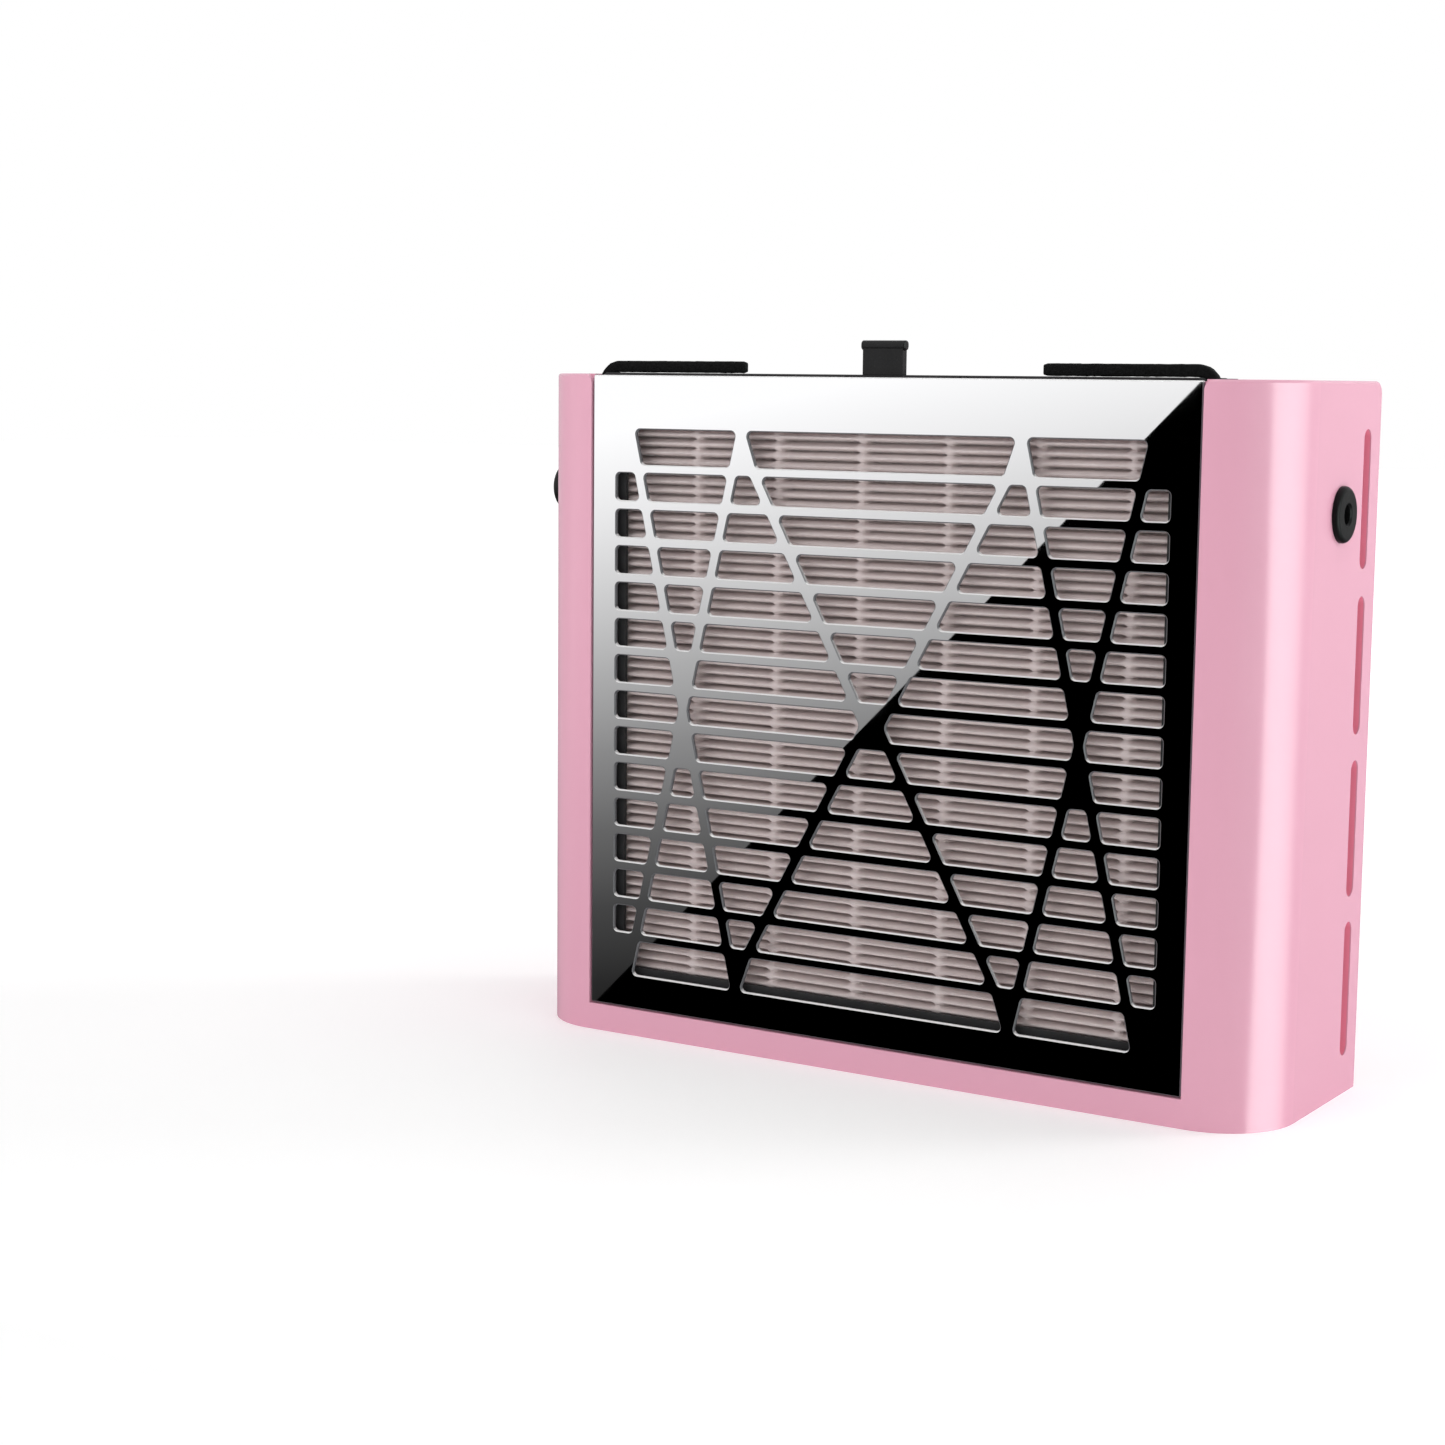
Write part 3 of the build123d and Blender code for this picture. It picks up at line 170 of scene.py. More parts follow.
def add_bump(material, scale, height, strength=1.0, detail=3.0, stretch=(1.0, 1.0, 1.0)):
    """Fine relief; height in metres. Calls stack, each on top of the one before."""
    tree = material.node_tree
    texture = noise_node(material, scale, detail, stretch)
    bump = tree.nodes.new("ShaderNodeBump")
    bump.inputs["Strength"].default_value = strength
    bump.inputs["Distance"].default_value = height
    tree.links.new(texture.outputs["Fac"], bump.inputs["Height"])
    normal = shader_of(material).inputs["Normal"]
    if normal.is_linked:
        tree.links.new(normal.links[0].from_socket, bump.inputs["Normal"])
    tree.links.new(bump.outputs["Normal"], normal)


# ------------------------------------------------------------------ materials
# cut sides of the mirror sheet: painted shade in grey, and painted light in a pale colour where they face up
EDGE_PAINTED_SHADE = (0.13, 0.13, 0.14)
EDGE_PAINTED_LIGHT = (0.88, 0.88, 0.88)
EDGE_ROUGHNESS = 0.4
SHEET_COLOR = (0.95, 0.95, 0.96)
FACE_NORMAL = (0.93, 0.97)  # how squarely a face looks along Y, from cut edge to mirror
PAINTED_LIGHT_NORMAL = (0.3, 0.6)  # how squarely the sheet's cut sides look up, from painted shade to painted light

SKIN_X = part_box("shell")[1].x - 0.2 * MM  # just under the shell's side faces
SKIN_FADE = 0.3 * MM
SLOT_WALL_DEPTH = (3.5 * MM, 4.5 * MM)  # below the skin: where the painted deeper pink starts to fade, and its end
SLOT_Y = 26.5 * MM
SLOT_HALF_W = (3.3 * MM, 3.5 * MM)
SLOTS_MIDDLE_Z = 106.5 * MM  # middle of the row of four slots
SLOTS_HALF_Z = 95.0 * MM
SLOTS_FADE_Z = 1.0 * MM
# painted deeper pink and painted emission for the exhaust slot walls, standing in for the bounce light in
# their shade
SLOT_PAINTED_PINK = (0.86, 0.25, 0.36)
SLOT_PAINTED_GLOW = (1.0, 0.32, 0.42)
SLOT_PAINTED_GLOW_STRENGTH = 0.14


def pink_plastic():
    """Glossy pink; the walls of the exhaust slots get a painted deeper pink and painted emission, standing in
    for the saturated bounce light in their shade.
    """
    material = new_material("pink_plastic", (0.80, 0.40, 0.52), 0.22, IOR=1.5)
    vary_color(material, (0.803, 0.402, 0.522), (0.811, 0.407, 0.527), 9.0, 1.0)
    tree = material.node_tree
    shader = shader_of(material)
    coords = tree.nodes.new("ShaderNodeTexCoord")
    spot = tree.nodes.new("ShaderNodeSeparateXYZ")
    tree.links.new(coords.outputs["Object"], spot.inputs["Vector"])
    sideways = distance_from(material, spot.outputs["X"], 0.0)
    along_depth = distance_from(material, spot.outputs["Y"], SLOT_Y)
    along_height = distance_from(material, spot.outputs["Z"], SLOTS_MIDDLE_Z)
    # each test passes the one before it through where it holds, so the last mask is 1 only where all of them
    # hold, marking where the painted slot colour goes
    slot_paint_mask = None
    for source, full, none in (
        (sideways, SKIN_X - SKIN_FADE, SKIN_X),
        (sideways, SKIN_X - SLOT_WALL_DEPTH[0], SKIN_X - SLOT_WALL_DEPTH[1]),
        (along_depth, *SLOT_HALF_W),
        (along_height, SLOTS_HALF_Z, SLOTS_HALF_Z + SLOTS_FADE_Z),
    ):
        low, high = min(full, none), max(full, none)
        inside = spread_value(material, source, low, high, float(full < none), float(full > none))
        if slot_paint_mask is not None:
            tree.links.new(slot_paint_mask.outputs["Result"], inside.inputs["To Min" if full < none else "To Max"])
        slot_paint_mask = inside
    # painted deeper pink on the slot walls, then painted emission, both standing in for the bounce light in
    # their shade
    painted_bounce_pink = blend_colors(material, slot_paint_mask, None, SLOT_PAINTED_PINK)
    tree.links.new(shader.inputs["Base Color"].links[0].from_socket, mix_color_socket(painted_bounce_pink, "A"))
    tree.links.new(mix_color_socket(painted_bounce_pink, "Result"), shader.inputs["Base Color"])
    shader.inputs["Emission Color"].default_value = (*SLOT_PAINTED_GLOW, 1.0)
    painted_glow = spread_value(material, slot_paint_mask.outputs["Result"], 0.0, 1.0, 0.0, SLOT_PAINTED_GLOW_STRENGTH)
    tree.links.new(painted_glow.outputs["Result"], shader.inputs["Emission Strength"])
    vary_roughness(material, 0.20, 0.24, 25.0)
    add_bump(material, 1500.0, 0.000012, 0.2, 2.0)
    return material


def mirror_sheet():
    """Mirror on the sheet's two faces; its cut edges are matt, with painted light where they face up and
    painted shade elsewhere.
    """
    material = new_material("mirror_sheet", SHEET_COLOR, 0.02, Metallic=1.0)
    vary_roughness(material, 0.008, 0.022, 90.0)
    tree = material.node_tree
    shader = shader_of(material)
    coords = tree.nodes.new("ShaderNodeTexCoord")
    split = tree.nodes.new("ShaderNodeSeparateXYZ")
    tree.links.new(coords.outputs["Normal"], split.inputs["Vector"])
    flat = tree.nodes.new("ShaderNodeMath")
    flat.operation = "ABSOLUTE"
    tree.links.new(split.outputs["Y"], flat.inputs[0])
    on_face = spread_value(material, flat.outputs["Value"], *FACE_NORMAL, 0.0, 1.0)
    # painted light on cut sides that face up and painted shade on the rest, coloured by which way they face
    painted_light_mask = spread_value(material, split.outputs["Z"], *PAINTED_LIGHT_NORMAL, 0.0, 1.0)
    painted_edge_color = blend_colors(material, painted_light_mask, EDGE_PAINTED_SHADE, EDGE_PAINTED_LIGHT)
    color = blend_colors(material, on_face, None, SHEET_COLOR)
    tree.links.new(mix_color_socket(painted_edge_color, "Result"), mix_color_socket(color, "A"))
    tree.links.new(mix_color_socket(color, "Result"), shader.inputs["Base Color"])
    tree.links.new(on_face.outputs["Result"], shader.inputs["Metallic"])
    gloss = spread_value(material, on_face.outputs["Result"], 0.0, 1.0, EDGE_ROUGHNESS, 0.0)
    tree.links.new(shader.inputs["Roughness"].links[0].from_socket, gloss.inputs["To Max"])
    tree.links.new(gloss.outputs["Result"], shader.inputs["Roughness"])
    return material


def black_plastic(name, tone, roughness, grain, specular=0.2):
    color = (tone, tone, tone * 1.05)
    material = new_material(name, color, roughness, Specular_IOR_Level=specular)
    vary_color(material, tuple(0.85 * c for c in color), tuple(1.2 * c for c in color), 120.0)
    vary_roughness(material, roughness - 0.06, roughness + 0.06, 200.0)
    add_bump(material, grain, 0.00006, 0.5)
    return material


def filter_paper():
    material = new_material("filter_paper", (0.71, 0.62, 0.61), 0.85, Sheen_Weight=0.25, Sheen_Roughness=0.5)
    vary_color(material, (0.68, 0.585, 0.575), (0.745, 0.65, 0.64), 500.0, 6.0, (0.5, 1.0, 1.6))
    add_bump(material, 2400.0, 0.00006, 0.5, 6.0, (0.35, 1.0, 1.0))
    add_bump(material, 7000.0, 0.00003, 0.5, 3.0)
    return material


def foam_black():
    material = new_material("foam_black", (0.005, 0.005, 0.005), 0.95, Sheen_Weight=0.03,
                            Sheen_Roughness=0.4, Specular_IOR_Level=0.15)
    vary_color(material, (0.002, 0.002, 0.002), (0.008, 0.008, 0.0085), 1500.0, 5.0)
    add_bump(material, 1600.0, 0.0003, 0.8, 6.0)
    return material


def metal(name, color, roughness):
    material = new_material(name, color, roughness, Metallic=1.0)
    vary_roughness(material, roughness * 0.7, roughness * 1.3, 400.0, (1.0, 6.0, 1.0))
    vary_color(material, tuple(0.92 * c for c in color), color, 250.0)
    return material


def plain_stuff(name, color, roughness, grain=1200.0, height=0.00005):
    material = new_material(name, color, roughness)
    vary_color(material, tuple(0.9 * c for c in color), tuple(min(1.0, 1.08 * c) for c in color), 150.0)
    add_bump(material, grain, height, 0.5)
    return material


MATERIALS = {
    "pink_plastic": pink_plastic(),
    "grille_mirror": mirror_sheet(),
    "clear_tape": plain_stuff("clear_tape", (0.55, 0.55, 0.52), 0.5),
    "black_plastic": black_plastic("black_plastic", 0.010, 0.36, 1800.0),
    "fan_black": black_plastic("fan_black", 0.022, 0.5, 1400.0),
    "frame_grey": black_plastic("frame_grey", 0.028, 0.6, 2200.0),
    "foam_black": foam_black(),
    "filter_white": filter_paper(),
    "glue_white": filter_paper(),
    "foot_rubber": black_plastic("foot_rubber", 0.02, 0.75, 2600.0),
    "steel": metal("steel", (0.60, 0.60, 0.62), 0.32),
    "nickel": metal("nickel", (0.72, 0.70, 0.66), 0.2),
    "magnet": plain_stuff("magnet", (0.05, 0.05, 0.055), 0.5),
    "copper": metal("copper", (0.75, 0.33, 0.16), 0.35),
    "board_green": plain_stuff("board_green", (0.02, 0.14, 0.05), 0.35, 500.0),
    "component_silver": metal("component_silver", (0.7, 0.7, 0.72), 0.4),
    "connector_white": plain_stuff("connector_white", (0.75, 0.74, 0.68), 0.45),
    "lead_black": black_plastic("lead_black", 0.02, 0.55, 900.0),
}


OWN_MATERIALS = {
    "dc_jack": black_plastic("jack_black", 0.008, 0.34, 1800.0, specular=0.06),
    # painted shade: the jack's pin is near-black metal, standing in for the shade far down the jack's bore
    "jack_pin": metal("pin_painted_shade", (0.06, 0.06, 0.06), 0.45),
}


def dress_nodes():
    """Give every carried-over CAD node the material of its slot, or its own where it has one."""
    for part in frame["record"]["subparts"]:
        name = part["node"]
        NODES[name].data.materials.clear()
        NODES[name].data.materials.append(OWN_MATERIALS.get(name) or MATERIALS[part["material_slot"]])


# ------------------------------------------------------------------ mesh helpers
def piece_from(name, vertices, faces, material, smooth=True):
    mesh = bpy.data.meshes.new(name)
    mesh.from_pydata(vertices, [], faces)
    mesh.update()
    if smooth:
        mesh.polygons.foreach_set("use_smooth", [True] * len(mesh.polygons))
    mesh.materials.append(material)
    piece = bpy.data.objects.new(name, mesh)
    bpy.context.scene.collection.objects.link(piece)
    return piece


def smoothstep(x):
    x = min(1.0, max(0.0, x))
    return x * x * (3 - 2 * x)


# ------------------------------------------------------------------ pleated filter
PLEAT_PITCH = 3.0 * MM
PLEAT_DEPTH = 6.5 * MM
PLEAT_STEPS = 12
BAND_PITCH = 30.0 * MM
BAND_X = -8.6 * MM
BAND_HALF = 0.6 * MM
BAND_EASE = 2.0 * MM
BAND_SINK = 1.3 * MM
CREST_SINK = 0.18 * MM
CREST_WANDER = 0.05 * MM
VALLEY_SHAPE = 2.4
COLUMN_OFFSETS = (0.0, 0.6, 0.9, 1.25, 1.6, 1.95, 2.3, 2.6, 4.0, 7.0, 11.0)  # mm from a glue band
COLUMN_MARGIN = 0.2 * MM


def band_openness(x):
    """0 on a glue band, 1 well away from it."""
    away = abs(x - BAND_X - round((x - BAND_X) / BAND_PITCH) * BAND_PITCH)
    return smoothstep((away - BAND_HALF) / BAND_EASE)


def pleat_columns(x0, x1):
    """X places of the columns, closer together near the glue bands."""
    columns = {x0, x1}
    first = math.ceil((x0 - BAND_X) / BAND_PITCH) - 1
    last = math.floor((x1 - BAND_X) / BAND_PITCH) + 1
    for band in range(first, last + 1):
        for offset in COLUMN_OFFSETS:
            for side in (-1, 1):
                x = BAND_X + band * BAND_PITCH + side * offset * MM
                if x0 + COLUMN_MARGIN < x < x1 - COLUMN_MARGIN:
                    columns.add(round(x, 7))
    return sorted(columns)


def pleat_sink(x, phase, row):
    """How far the sheet lies behind its crests; phase is 0 on a crest and 0.5 in a valley."""
    half = abs(phase - round(phase)) * 2
    valley = half ** VALLEY_SHAPE
    openness = band_openness(x)
    depth = BAND_SINK + (PLEAT_DEPTH - BAND_SINK) * openness
    wander = CREST_WANDER * noise.noise(Vector((x * 60, row * 0.7, 3.1)))
    return depth * valley + CREST_SINK + wander


def make_pleats():
    low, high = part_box("pleated_filter")
    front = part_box("glue_beads")[0].y
    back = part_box("glue_beads")[1].y
    columns = pleat_columns(low.x, high.x)
    rows = int(round((high.z - low.z) / PLEAT_PITCH * PLEAT_STEPS))
    heights = [low.z + (high.z - low.z) * i / rows for i in range(rows + 1)]
    vertices = []
    for z in heights:
        phase = (z - low.z) / PLEAT_PITCH
        for x in columns:
            vertices.append((x, front + pleat_sink(x, phase, round(phase)), z))
    offset = len(vertices)
    for z in heights:
        phase = (z - low.z) / PLEAT_PITCH + 0.5
        for x in columns:
            vertices.append((x, back - pleat_sink(x, phase, round(phase) + 90), z))
    wide = len(columns)
    faces = []
    for r in range(rows):
        for c in range(wide - 1):
            a = r * wide + c
            faces.append((a, a + 1, a + wide + 1, a + wide))
            b = offset + a
            faces.append((b, b + wide, b + wide + 1, b + 1))
    for r in range(rows):
        a = r * wide
        faces.append((a, a + wide, offset + a + wide, offset + a))
        a += wide - 1
        faces.append((a, offset + a, offset + a + wide, a + wide))
    for c in range(wide - 1):
        faces.append((c, offset + c, offset + c + 1, c + 1))
        a = rows * wide + c
        faces.append((a, a + 1, offset + a + 1, offset + a))
    piece = piece_from("pleats", vertices, faces, MATERIALS["filter_white"])
    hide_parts("pleated_filter", "glue_beads")
    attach(piece, "cassette")


# ------------------------------------------------------------------ foam seal
FOAM_CORNER_R = 7.5 * MM
SHOULDER_X = 51.7 * MM
SHOULDER_T = 3.0 * MM
FOAM_EDGE = 0.7 * MM
FOAM_STEP = 1.2 * MM
FOAM_ROUGHNESS = 0.06
FOAM_GRAIN = 900
FOAM_END_SQUEEZE = 0.82
SHOULDER_DROP = 8 * MM
FOAM_TOP_GAP = 0.2 * MM


def rounded_profile(half_a, half_b, radius, steps=3):
    """A rounded rectangle as a closed loop of points."""
    points = []
    for turn, (a, b) in enumerate(((1, 1), (-1, 1), (-1, -1), (1, -1))):
        for i in range(steps + 1):
            angle = math.radians(90) * (turn + i / steps)
            points.append((a * (half_a - radius) + radius * math.cos(angle),
                           b * (half_b - radius) + radius * math.sin(angle)))
    return points


def arc(x, z, radius, start, end, steps=10):
    """Points along an arc in the X-Z plane; angles in degrees."""
    angles = [math.radians(start + (end - start) * i / steps) for i in range(steps + 1)]
    return [(x + radius * math.cos(a), z + radius * math.sin(a)) for a in angles]


def even_path(points, step):
    """The same path with a point about every step."""
    out = [points[0]]
    for (x0, z0), (x1, z1) in zip(points, points[1:]):
        parts = max(1, round(math.hypot(x1 - x0, z1 - z0) / step))
        out += [(x0 + (x1 - x0) * i / parts, z0 + (z1 - z0) * i / parts) for i in range(1, parts + 1)]
    return out


def foam_strip(path, half_n, y0, y1):
    """Vertices and faces of one foam strip: a rounded section swept along a path in the X-Z plane."""
    path = even_path(path, FOAM_STEP)
    middle = (y0 + y1) / 2
    profile = rounded_profile(half_n, (y1 - y0) / 2, FOAM_EDGE)
    count = len(profile)
    vertices = []
    last = len(path) - 1
    for i, (x, z) in enumerate(path):
        before = path[max(0, i - 1)]
        after = path[min(last, i + 1)]
        length = math.hypot(after[0] - before[0], after[1] - before[1])
        nx, nz = -(after[1] - before[1]) / length, (after[0] - before[0]) / length
        squeeze = FOAM_END_SQUEEZE if i in (0, last) else 1.0
        for a, b in profile:
            spot = Vector((x + nx * a * squeeze, middle + b * squeeze, z + nz * a * squeeze))
            rough = 1 - FOAM_ROUGHNESS * (1 + noise.noise(spot * FOAM_GRAIN))
            vertices.append((x + (spot.x - x) * rough, middle + (spot.y - middle) * (1 - (1 - rough) * 0.4),
                             z + (spot.z - z) * rough))
    faces = []
    for i in range(last):
        for j in range(count):
            k = (j + 1) % count
            faces.append((i * count + j, i * count + k, (i + 1) * count + k, (i + 1) * count + j))
    faces.append(tuple(reversed(range(count))))
    faces.append(tuple(range(last * count, (last + 1) * count)))
    return vertices, faces


def make_foam():
    """A U of foam round the cassette, and a thin shoulder on each side of its top."""
    low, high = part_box("foam_seal")
    frame_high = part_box("cassette_frame")[1]
    half_n = (high.x - frame_high.x) / 2
    bend = FOAM_CORNER_R - half_n
    right = high.x - half_n
    bottom = low.z + half_n
    top = frame_high.z - FOAM_TOP_GAP
    side = [(right, top)] + arc(right - bend, bottom + bend, bend, 0, -90)
    around = side + [(-x, z) for x, z in reversed(side)]
    strips = [foam_strip(around, half_n, low.y, high.y)]
    half_t = (high.z - frame_high.z) / 2
    ridge = high.z - half_t
    inner = SHOULDER_X
    bend = FOAM_CORNER_R - half_t
    shoulder = [(inner, ridge)] + arc(high.x - half_t - bend, ridge - bend, bend, 90, 0)
    shoulder.append((high.x - half_t, top - SHOULDER_DROP))
    strips.append(foam_strip(shoulder, half_t, low.y, low.y + SHOULDER_T))
    strips.append(foam_strip([(-x, z) for x, z in shoulder], half_t, low.y, low.y + SHOULDER_T))
    vertices = []
    faces = []
    for part_vertices, part_faces in strips:
        base = len(vertices)
        vertices += part_vertices
        faces += [tuple(base + i for i in face) for face in part_faces]
    piece = piece_from("foam", vertices, faces, MATERIALS["foam_black"])
    mesh = bmesh.new()
    mesh.from_mesh(piece.data)
    bmesh.ops.recalc_face_normals(mesh, faces=mesh.faces)
    mesh.to_mesh(piece.data)
    mesh.free()
    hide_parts("foam_seal")
    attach(piece, "cassette")


# ------------------------------------------------------------------ studio
MIRROR_PLANE_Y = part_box("mirror_grille")[0].y
CARD_AWAY = 0.30
CARD_OVERHANG = 0.6
CARD_WIDTH = 0.9
CARD_GAIN = 1.05
CARD_SLANT = 0.19  # how much of a step sideways counts as a step down in brightness
DIAGONAL_START = 1.6 * MM  # where the diagonal meets the grille's bottom and top edges, in from its corners
DIAGONAL_END = 0.6 * MM
CARD_DARKEST = 0.078  # display value at the foot of the card; its head is white
CARD_EASE = 0.45  # share of the rise that eases in and out, the rest being straight
CARD_STOPS = 9
FILL_STRENGTH = 0.46
ROOM_RISE = (-0.6, 0.4)  # upward part of a reflection's direction, and the room's strength at each end
ROOM_STRENGTH = (0.03, 0.95)
FLOOR_SIDE = 6.0
FLOOR_GLOW_SPAN = (0.3, 1.6)  # distance from the middle, and what the camera sees there
FLOOR_GLOW_SEEN = (0.22, 0.62)
FLOOR_GLOW = 0.33
SIDE_CARD_X = 1.2
SIDE_CARD_Y = (-1.9, 1.25)
SIDE_CARD_FULL_Y = (-1.0, -0.15)
SIDE_CARD_Z = (-0.6, 0.6)
SIDE_CARD_STRENGTH = 8.0
SIDE_CARD_COLOR = (0.86, 1.0, 0.95, 1.0)


def linear(value):
    """Display value 0..1 to linear light."""
    return value / 12.92 if value <= 0.04045 else ((value + 0.055) / 1.055) ** 2.4


def card_tone(height):
    """Display value 0..1 at a height 0..1 up the white card."""
    rise = (1 - CARD_EASE) * height + CARD_EASE * smoothstep(height)
    return CARD_DARKEST + (1 - CARD_DARKEST) * rise


def card_point(x, z):
    """Where on the card's plane the camera sees the grille's point (x, z) reflected."""
    depth = MIRROR_PLANE_Y - CAMERA_SPOT.y
    t = CARD_AWAY / depth
    return Vector((x + t * (x - CAMERA_SPOT.x), MIRROR_PLANE_Y - CARD_AWAY, z + t * (z - CAMERA_SPOT.z)))


def emission_material(name, strength):
    material = bpy.data.materials.new(name)
    material.use_nodes = True
    tree = material.node_tree
    tree.nodes.clear()
    output = tree.nodes.new("ShaderNodeOutputMaterial")
    emission = tree.nodes.new("ShaderNodeEmission")
    emission.inputs["Strength"].default_value = strength
    tree.links.new(emission.outputs["Emission"], output.inputs["Surface"])
    return material, tree, emission


def only_reflected(card):
    """The card shows in reflections alone, and neither lights nor shades anything else."""
    card.visible_camera = False
    card.visible_diffuse = False
    card.visible_shadow = False
    card.visible_transmission = False
    card.visible_volume_scatter = False


def make_cards():
    """A graduated white card and a black one meet along the grille's diagonal in its reflection."""
    low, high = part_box("mirror_grille")
    corner_a = card_point(low.x + DIAGONAL_START, low.z)
    corner_b = card_point(high.x - DIAGONAL_END, high.z)
    along = (corner_b - corner_a).normalized()
    across = Vector((-along.z, 0, along.x))
    start = corner_a - along * CARD_OVERHANG
    end = corner_b + along * CARD_OVERHANG
    white, tree, emission = emission_material("white_card", 1.0)
    coords = tree.nodes.new("ShaderNodeTexCoord")
    split = tree.nodes.new("ShaderNodeSeparateXYZ")
    tree.links.new(coords.outputs["Object"], split.inputs["Vector"])
    # brightness rises with height and falls slowly to the right, as on a sheet lit from the upper left
    bottom = card_point(0.0, low.z)
    top = card_point(0.0, high.z)
    tilt = tree.nodes.new("ShaderNodeMath")
    tilt.operation = "MULTIPLY_ADD"
    tilt.inputs[1].default_value = -CARD_SLANT
    tree.links.new(split.outputs["X"], tilt.inputs[0])
    tree.links.new(split.outputs["Z"], tilt.inputs[2])
    spread = tree.nodes.new("ShaderNodeMapRange")
    shift = -CARD_SLANT * card_point(0.0, 0.0).x
    spread.inputs["From Min"].default_value = bottom.z + shift
    spread.inputs["From Max"].default_value = top.z + shift
    tree.links.new(tilt.outputs["Value"], spread.inputs["Value"])
    ramp = tree.nodes.new("ShaderNodeValToRGB")
    elements = ramp.color_ramp.elements
    while len(elements) < CARD_STOPS:
        elements.new(0.5)
    for i, element in enumerate(elements):
        element.position = i / (CARD_STOPS - 1)
        value = linear(card_tone(element.position)) * CARD_GAIN
        element.color = (value, value, value, 1.0)
    tree.links.new(spread.outputs["Result"], ramp.inputs["Fac"])
    tree.links.new(ramp.outputs["Color"], emission.inputs["Color"])
    black, _, _ = emission_material("black_card", 0.0)
    for name, side, material in (("white_card", 1, white), ("black_card", -1, black)):
        far = across * side * CARD_WIDTH
        corners = [start, end, end + far, start + far]
        card = piece_from(name, [tuple(c) for c in corners], [(0, 1, 2, 3)], material, smooth=False)
        only_reflected(card)


def area_light(name, spot, target, size, power):
    data = bpy.data.lights.new(name, "AREA")
    data.shape = "RECTANGLE"
    data.size, data.size_y = size
    data.energy = power
    light = bpy.data.objects.new(name, data)
    bpy.context.scene.collection.objects.link(light)
    light.location = spot
    light.rotation_euler = (Vector(target) - Vector(spot)).to_track_quat("-Z", "Y").to_euler()
    light.visible_glossy = False


def make_world():
    """White behind the object, a soft fill on it, and in reflections a room that is darker low down."""
    world = bpy.data.worlds.new("studio")
    bpy.context.scene.world = world
    world.use_nodes = True
    tree = world.node_tree
    fill = tree.nodes["Background"]
    fill.inputs["Color"].default_value = (1.0, 1.0, 1.0, 1.0)
    fill.inputs["Strength"].default_value = FILL_STRENGTH
    rays = tree.nodes.new("ShaderNodeLightPath")
    coords = tree.nodes.new("ShaderNodeTexCoord")
    split = tree.nodes.new("ShaderNodeSeparateXYZ")
    tree.links.new(coords.outputs["Generated"], split.inputs["Vector"])
    fade = tree.nodes.new("ShaderNodeMapRange")
    fade.interpolation_type = "SMOOTHSTEP"
    for bound, rise, strength in zip(("Min", "Max"), ROOM_RISE, ROOM_STRENGTH):
        fade.inputs["From " + bound].default_value = rise
        fade.inputs["To " + bound].default_value = strength
    tree.links.new(split.outputs["Z"], fade.inputs["Value"])
    room = tree.nodes.new("ShaderNodeBackground")
    tree.links.new(fade.outputs["Result"], room.inputs["Strength"])
    backdrop = tree.nodes.new("ShaderNodeBackground")
    backdrop.inputs["Strength"].default_value = 1.0
    backdrop.inputs["Color"].default_value = (1.0, 1.0, 1.0, 1.0)
    room.inputs["Color"].default_value = (1.0, 1.0, 1.0, 1.0)
    reflected = tree.nodes.new("ShaderNodeMixShader")
    tree.links.new(rays.outputs["Is Glossy Ray"], reflected.inputs["Fac"])
    tree.links.new(fill.outputs["Background"], reflected.inputs[1])
    tree.links.new(room.outputs["Background"], reflected.inputs[2])
    seen = tree.nodes.new("ShaderNodeMixShader")
    tree.links.new(rays.outputs["Is Camera Ray"], seen.inputs["Fac"])
    tree.links.new(reflected.outputs["Shader"], seen.inputs[1])
    tree.links.new(backdrop.outputs["Background"], seen.inputs[2])
    tree.links.new(seen.outputs["Shader"], tree.nodes["World Output"].inputs["Surface"])


def lift_floor(material):
    """Makes the sheet a lit sweep: a little light of its own, and white as far as the horizon."""
    tree = material.node_tree
    coords = tree.nodes.new("ShaderNodeTexCoord")
    away = tree.nodes.new("ShaderNodeVectorMath")
    away.operation = "LENGTH"
    tree.links.new(coords.outputs["Object"], away.inputs[0])
    seen = spread_value(material, away.outputs["Value"], *FLOOR_GLOW_SPAN, *FLOOR_GLOW_SEEN)
    rays = tree.nodes.new("ShaderNodeLightPath")
    lift = spread_value(material, rays.outputs["Is Camera Ray"], 0.0, 1.0, FLOOR_GLOW, 0.0)
    tree.links.new(seen.outputs["Result"], lift.inputs["To Max"])
    shader_of(material).inputs["Emission Color"].default_value = (1.0, 1.0, 1.0, 1.0)
    tree.links.new(lift.outputs["Result"], shader_of(material).inputs["Emission Strength"])


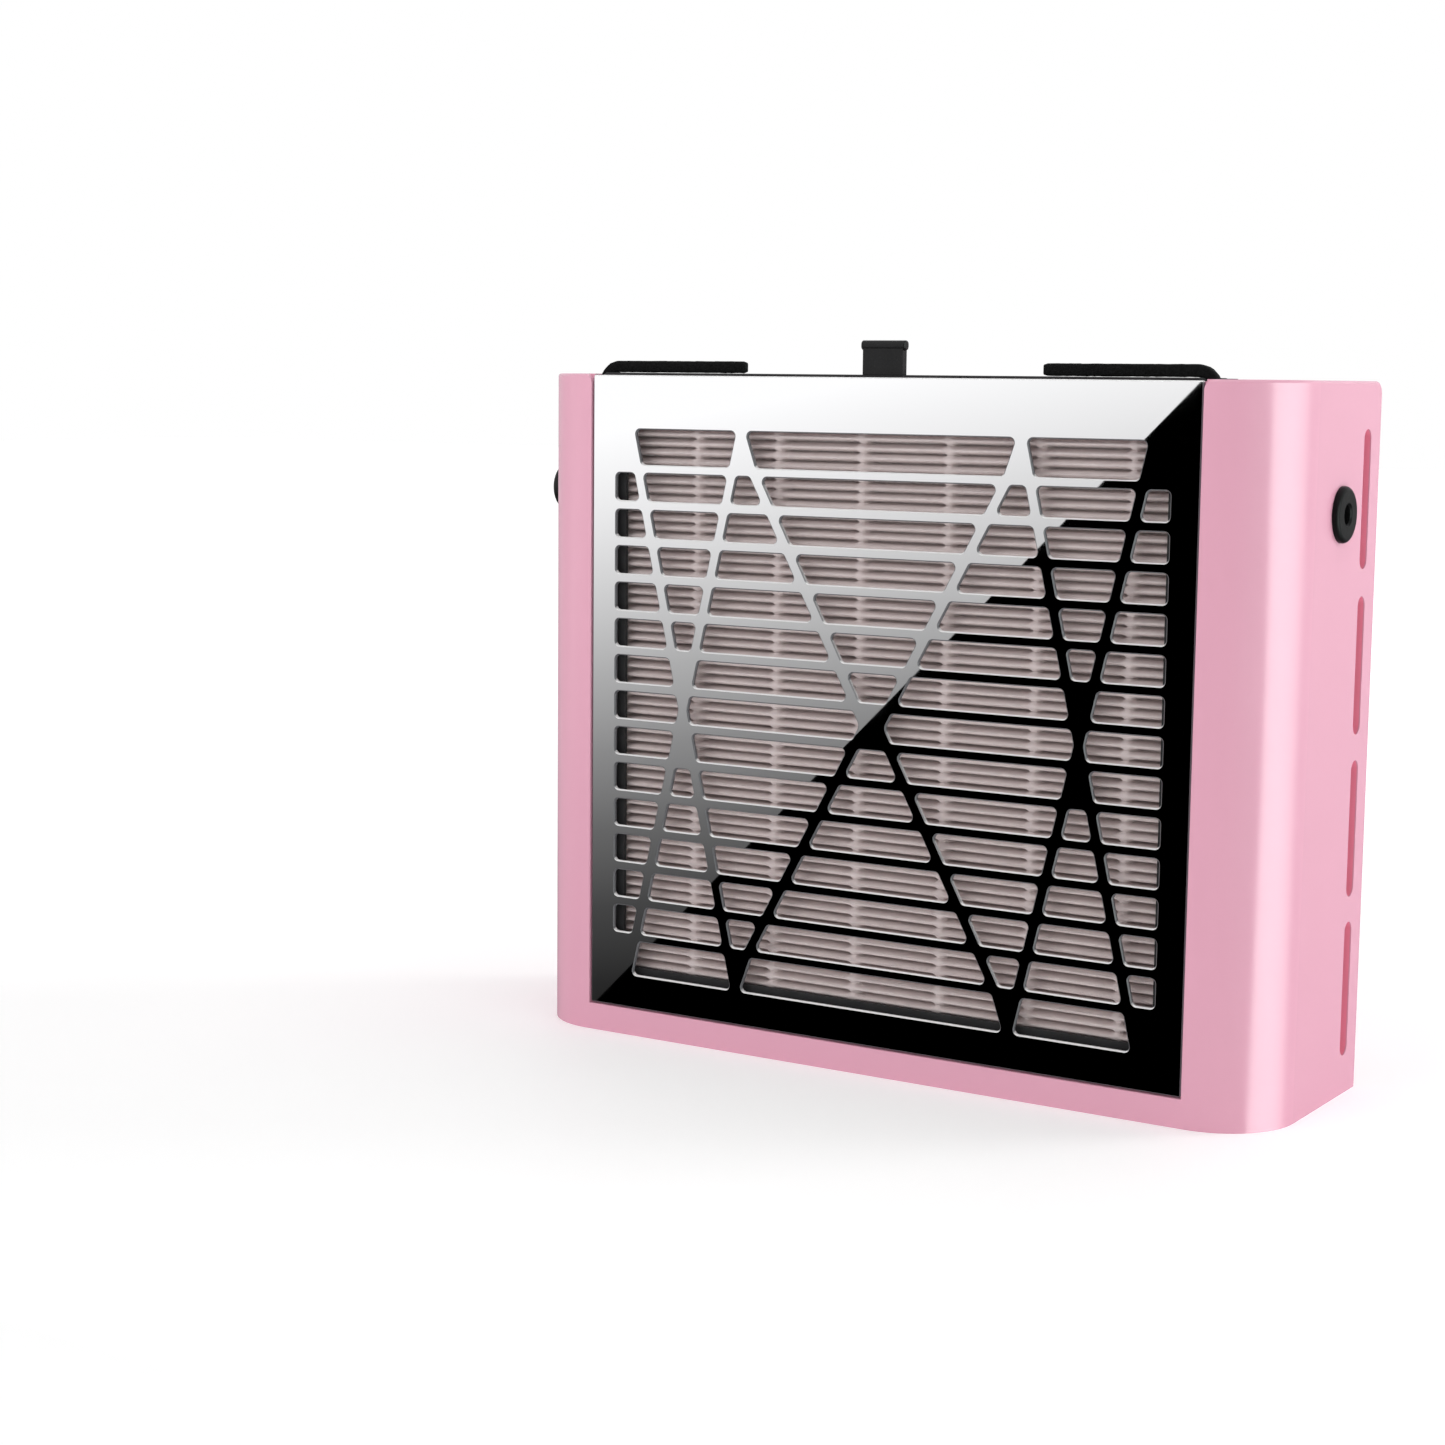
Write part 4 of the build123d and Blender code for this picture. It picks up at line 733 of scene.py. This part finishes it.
def make_side_card():
    """A tall soft card on the right, seen only in reflections: it makes the streak down the round corner."""
    material, tree, emission = emission_material("side_card", 1.0)
    emission.inputs["Color"].default_value = SIDE_CARD_COLOR
    coords = tree.nodes.new("ShaderNodeTexCoord")
    split = tree.nodes.new("ShaderNodeSeparateXYZ")
    tree.links.new(coords.outputs["Object"], split.inputs["Vector"])
    # fades in from each end to its full strength
    for start, full in zip(SIDE_CARD_Y, SIDE_CARD_FULL_Y):
        fade = tree.nodes.new("ShaderNodeMapRange")
        fade.interpolation_type = "SMOOTHSTEP"
        fade.inputs["From Min"].default_value = start
        fade.inputs["From Max"].default_value = full
        tree.links.new(split.outputs["Y"], fade.inputs["Value"])
        product = tree.nodes.new("ShaderNodeMath")
        product.operation = "MULTIPLY"
        product.inputs[1].default_value = SIDE_CARD_STRENGTH
        tree.links.new(fade.outputs["Result"], product.inputs[0])
        if emission.inputs["Strength"].is_linked:
            tree.links.new(emission.inputs["Strength"].links[0].from_socket, product.inputs[1])
        tree.links.new(product.outputs["Value"], emission.inputs["Strength"])
    y0, y1 = SIDE_CARD_Y
    z0, z1 = SIDE_CARD_Z
    corners = [(SIDE_CARD_X, y0, z0), (SIDE_CARD_X, y1, z0), (SIDE_CARD_X, y1, z1), (SIDE_CARD_X, y0, z1)]
    only_reflected(piece_from("side_card", corners, [(0, 1, 2, 3)], material, smooth=False))


def make_studio():
    floor_material = new_material("floor", (0.88, 0.88, 0.88), 0.6)
    vary_roughness(floor_material, 0.55, 0.65, 6.0)
    side = FLOOR_SIDE
    sweep = [(-side, -side, 0), (side, -side, 0), (side, side, 0), (-side, side, 0)]
    floor = piece_from("floor", sweep, [(0, 1, 2, 3)], floor_material, smooth=False)
    floor.visible_glossy = False
    lift_floor(floor_material)
    make_world()
    area_light("right_box", (1.1, 0.9, 0.35), (0.1, 0, 0.1), (0.5, 1.3), 11.0)
    area_light("front_soft", (-0.7, -1.6, 1.3), (0, 0, 0.1), (1.4, 1.0), 10)
    area_light("top_soft", (0.2, 0.1, 1.8), (0, 0, 0.1), (1.6, 1.2), 10)
    bpy.context.scene.view_settings.view_transform = "Standard"
    bpy.context.scene.view_settings.look = "None"


make_camera()
dress_nodes()
make_pleats()
make_foam()
make_studio()
make_cards()
make_side_card()
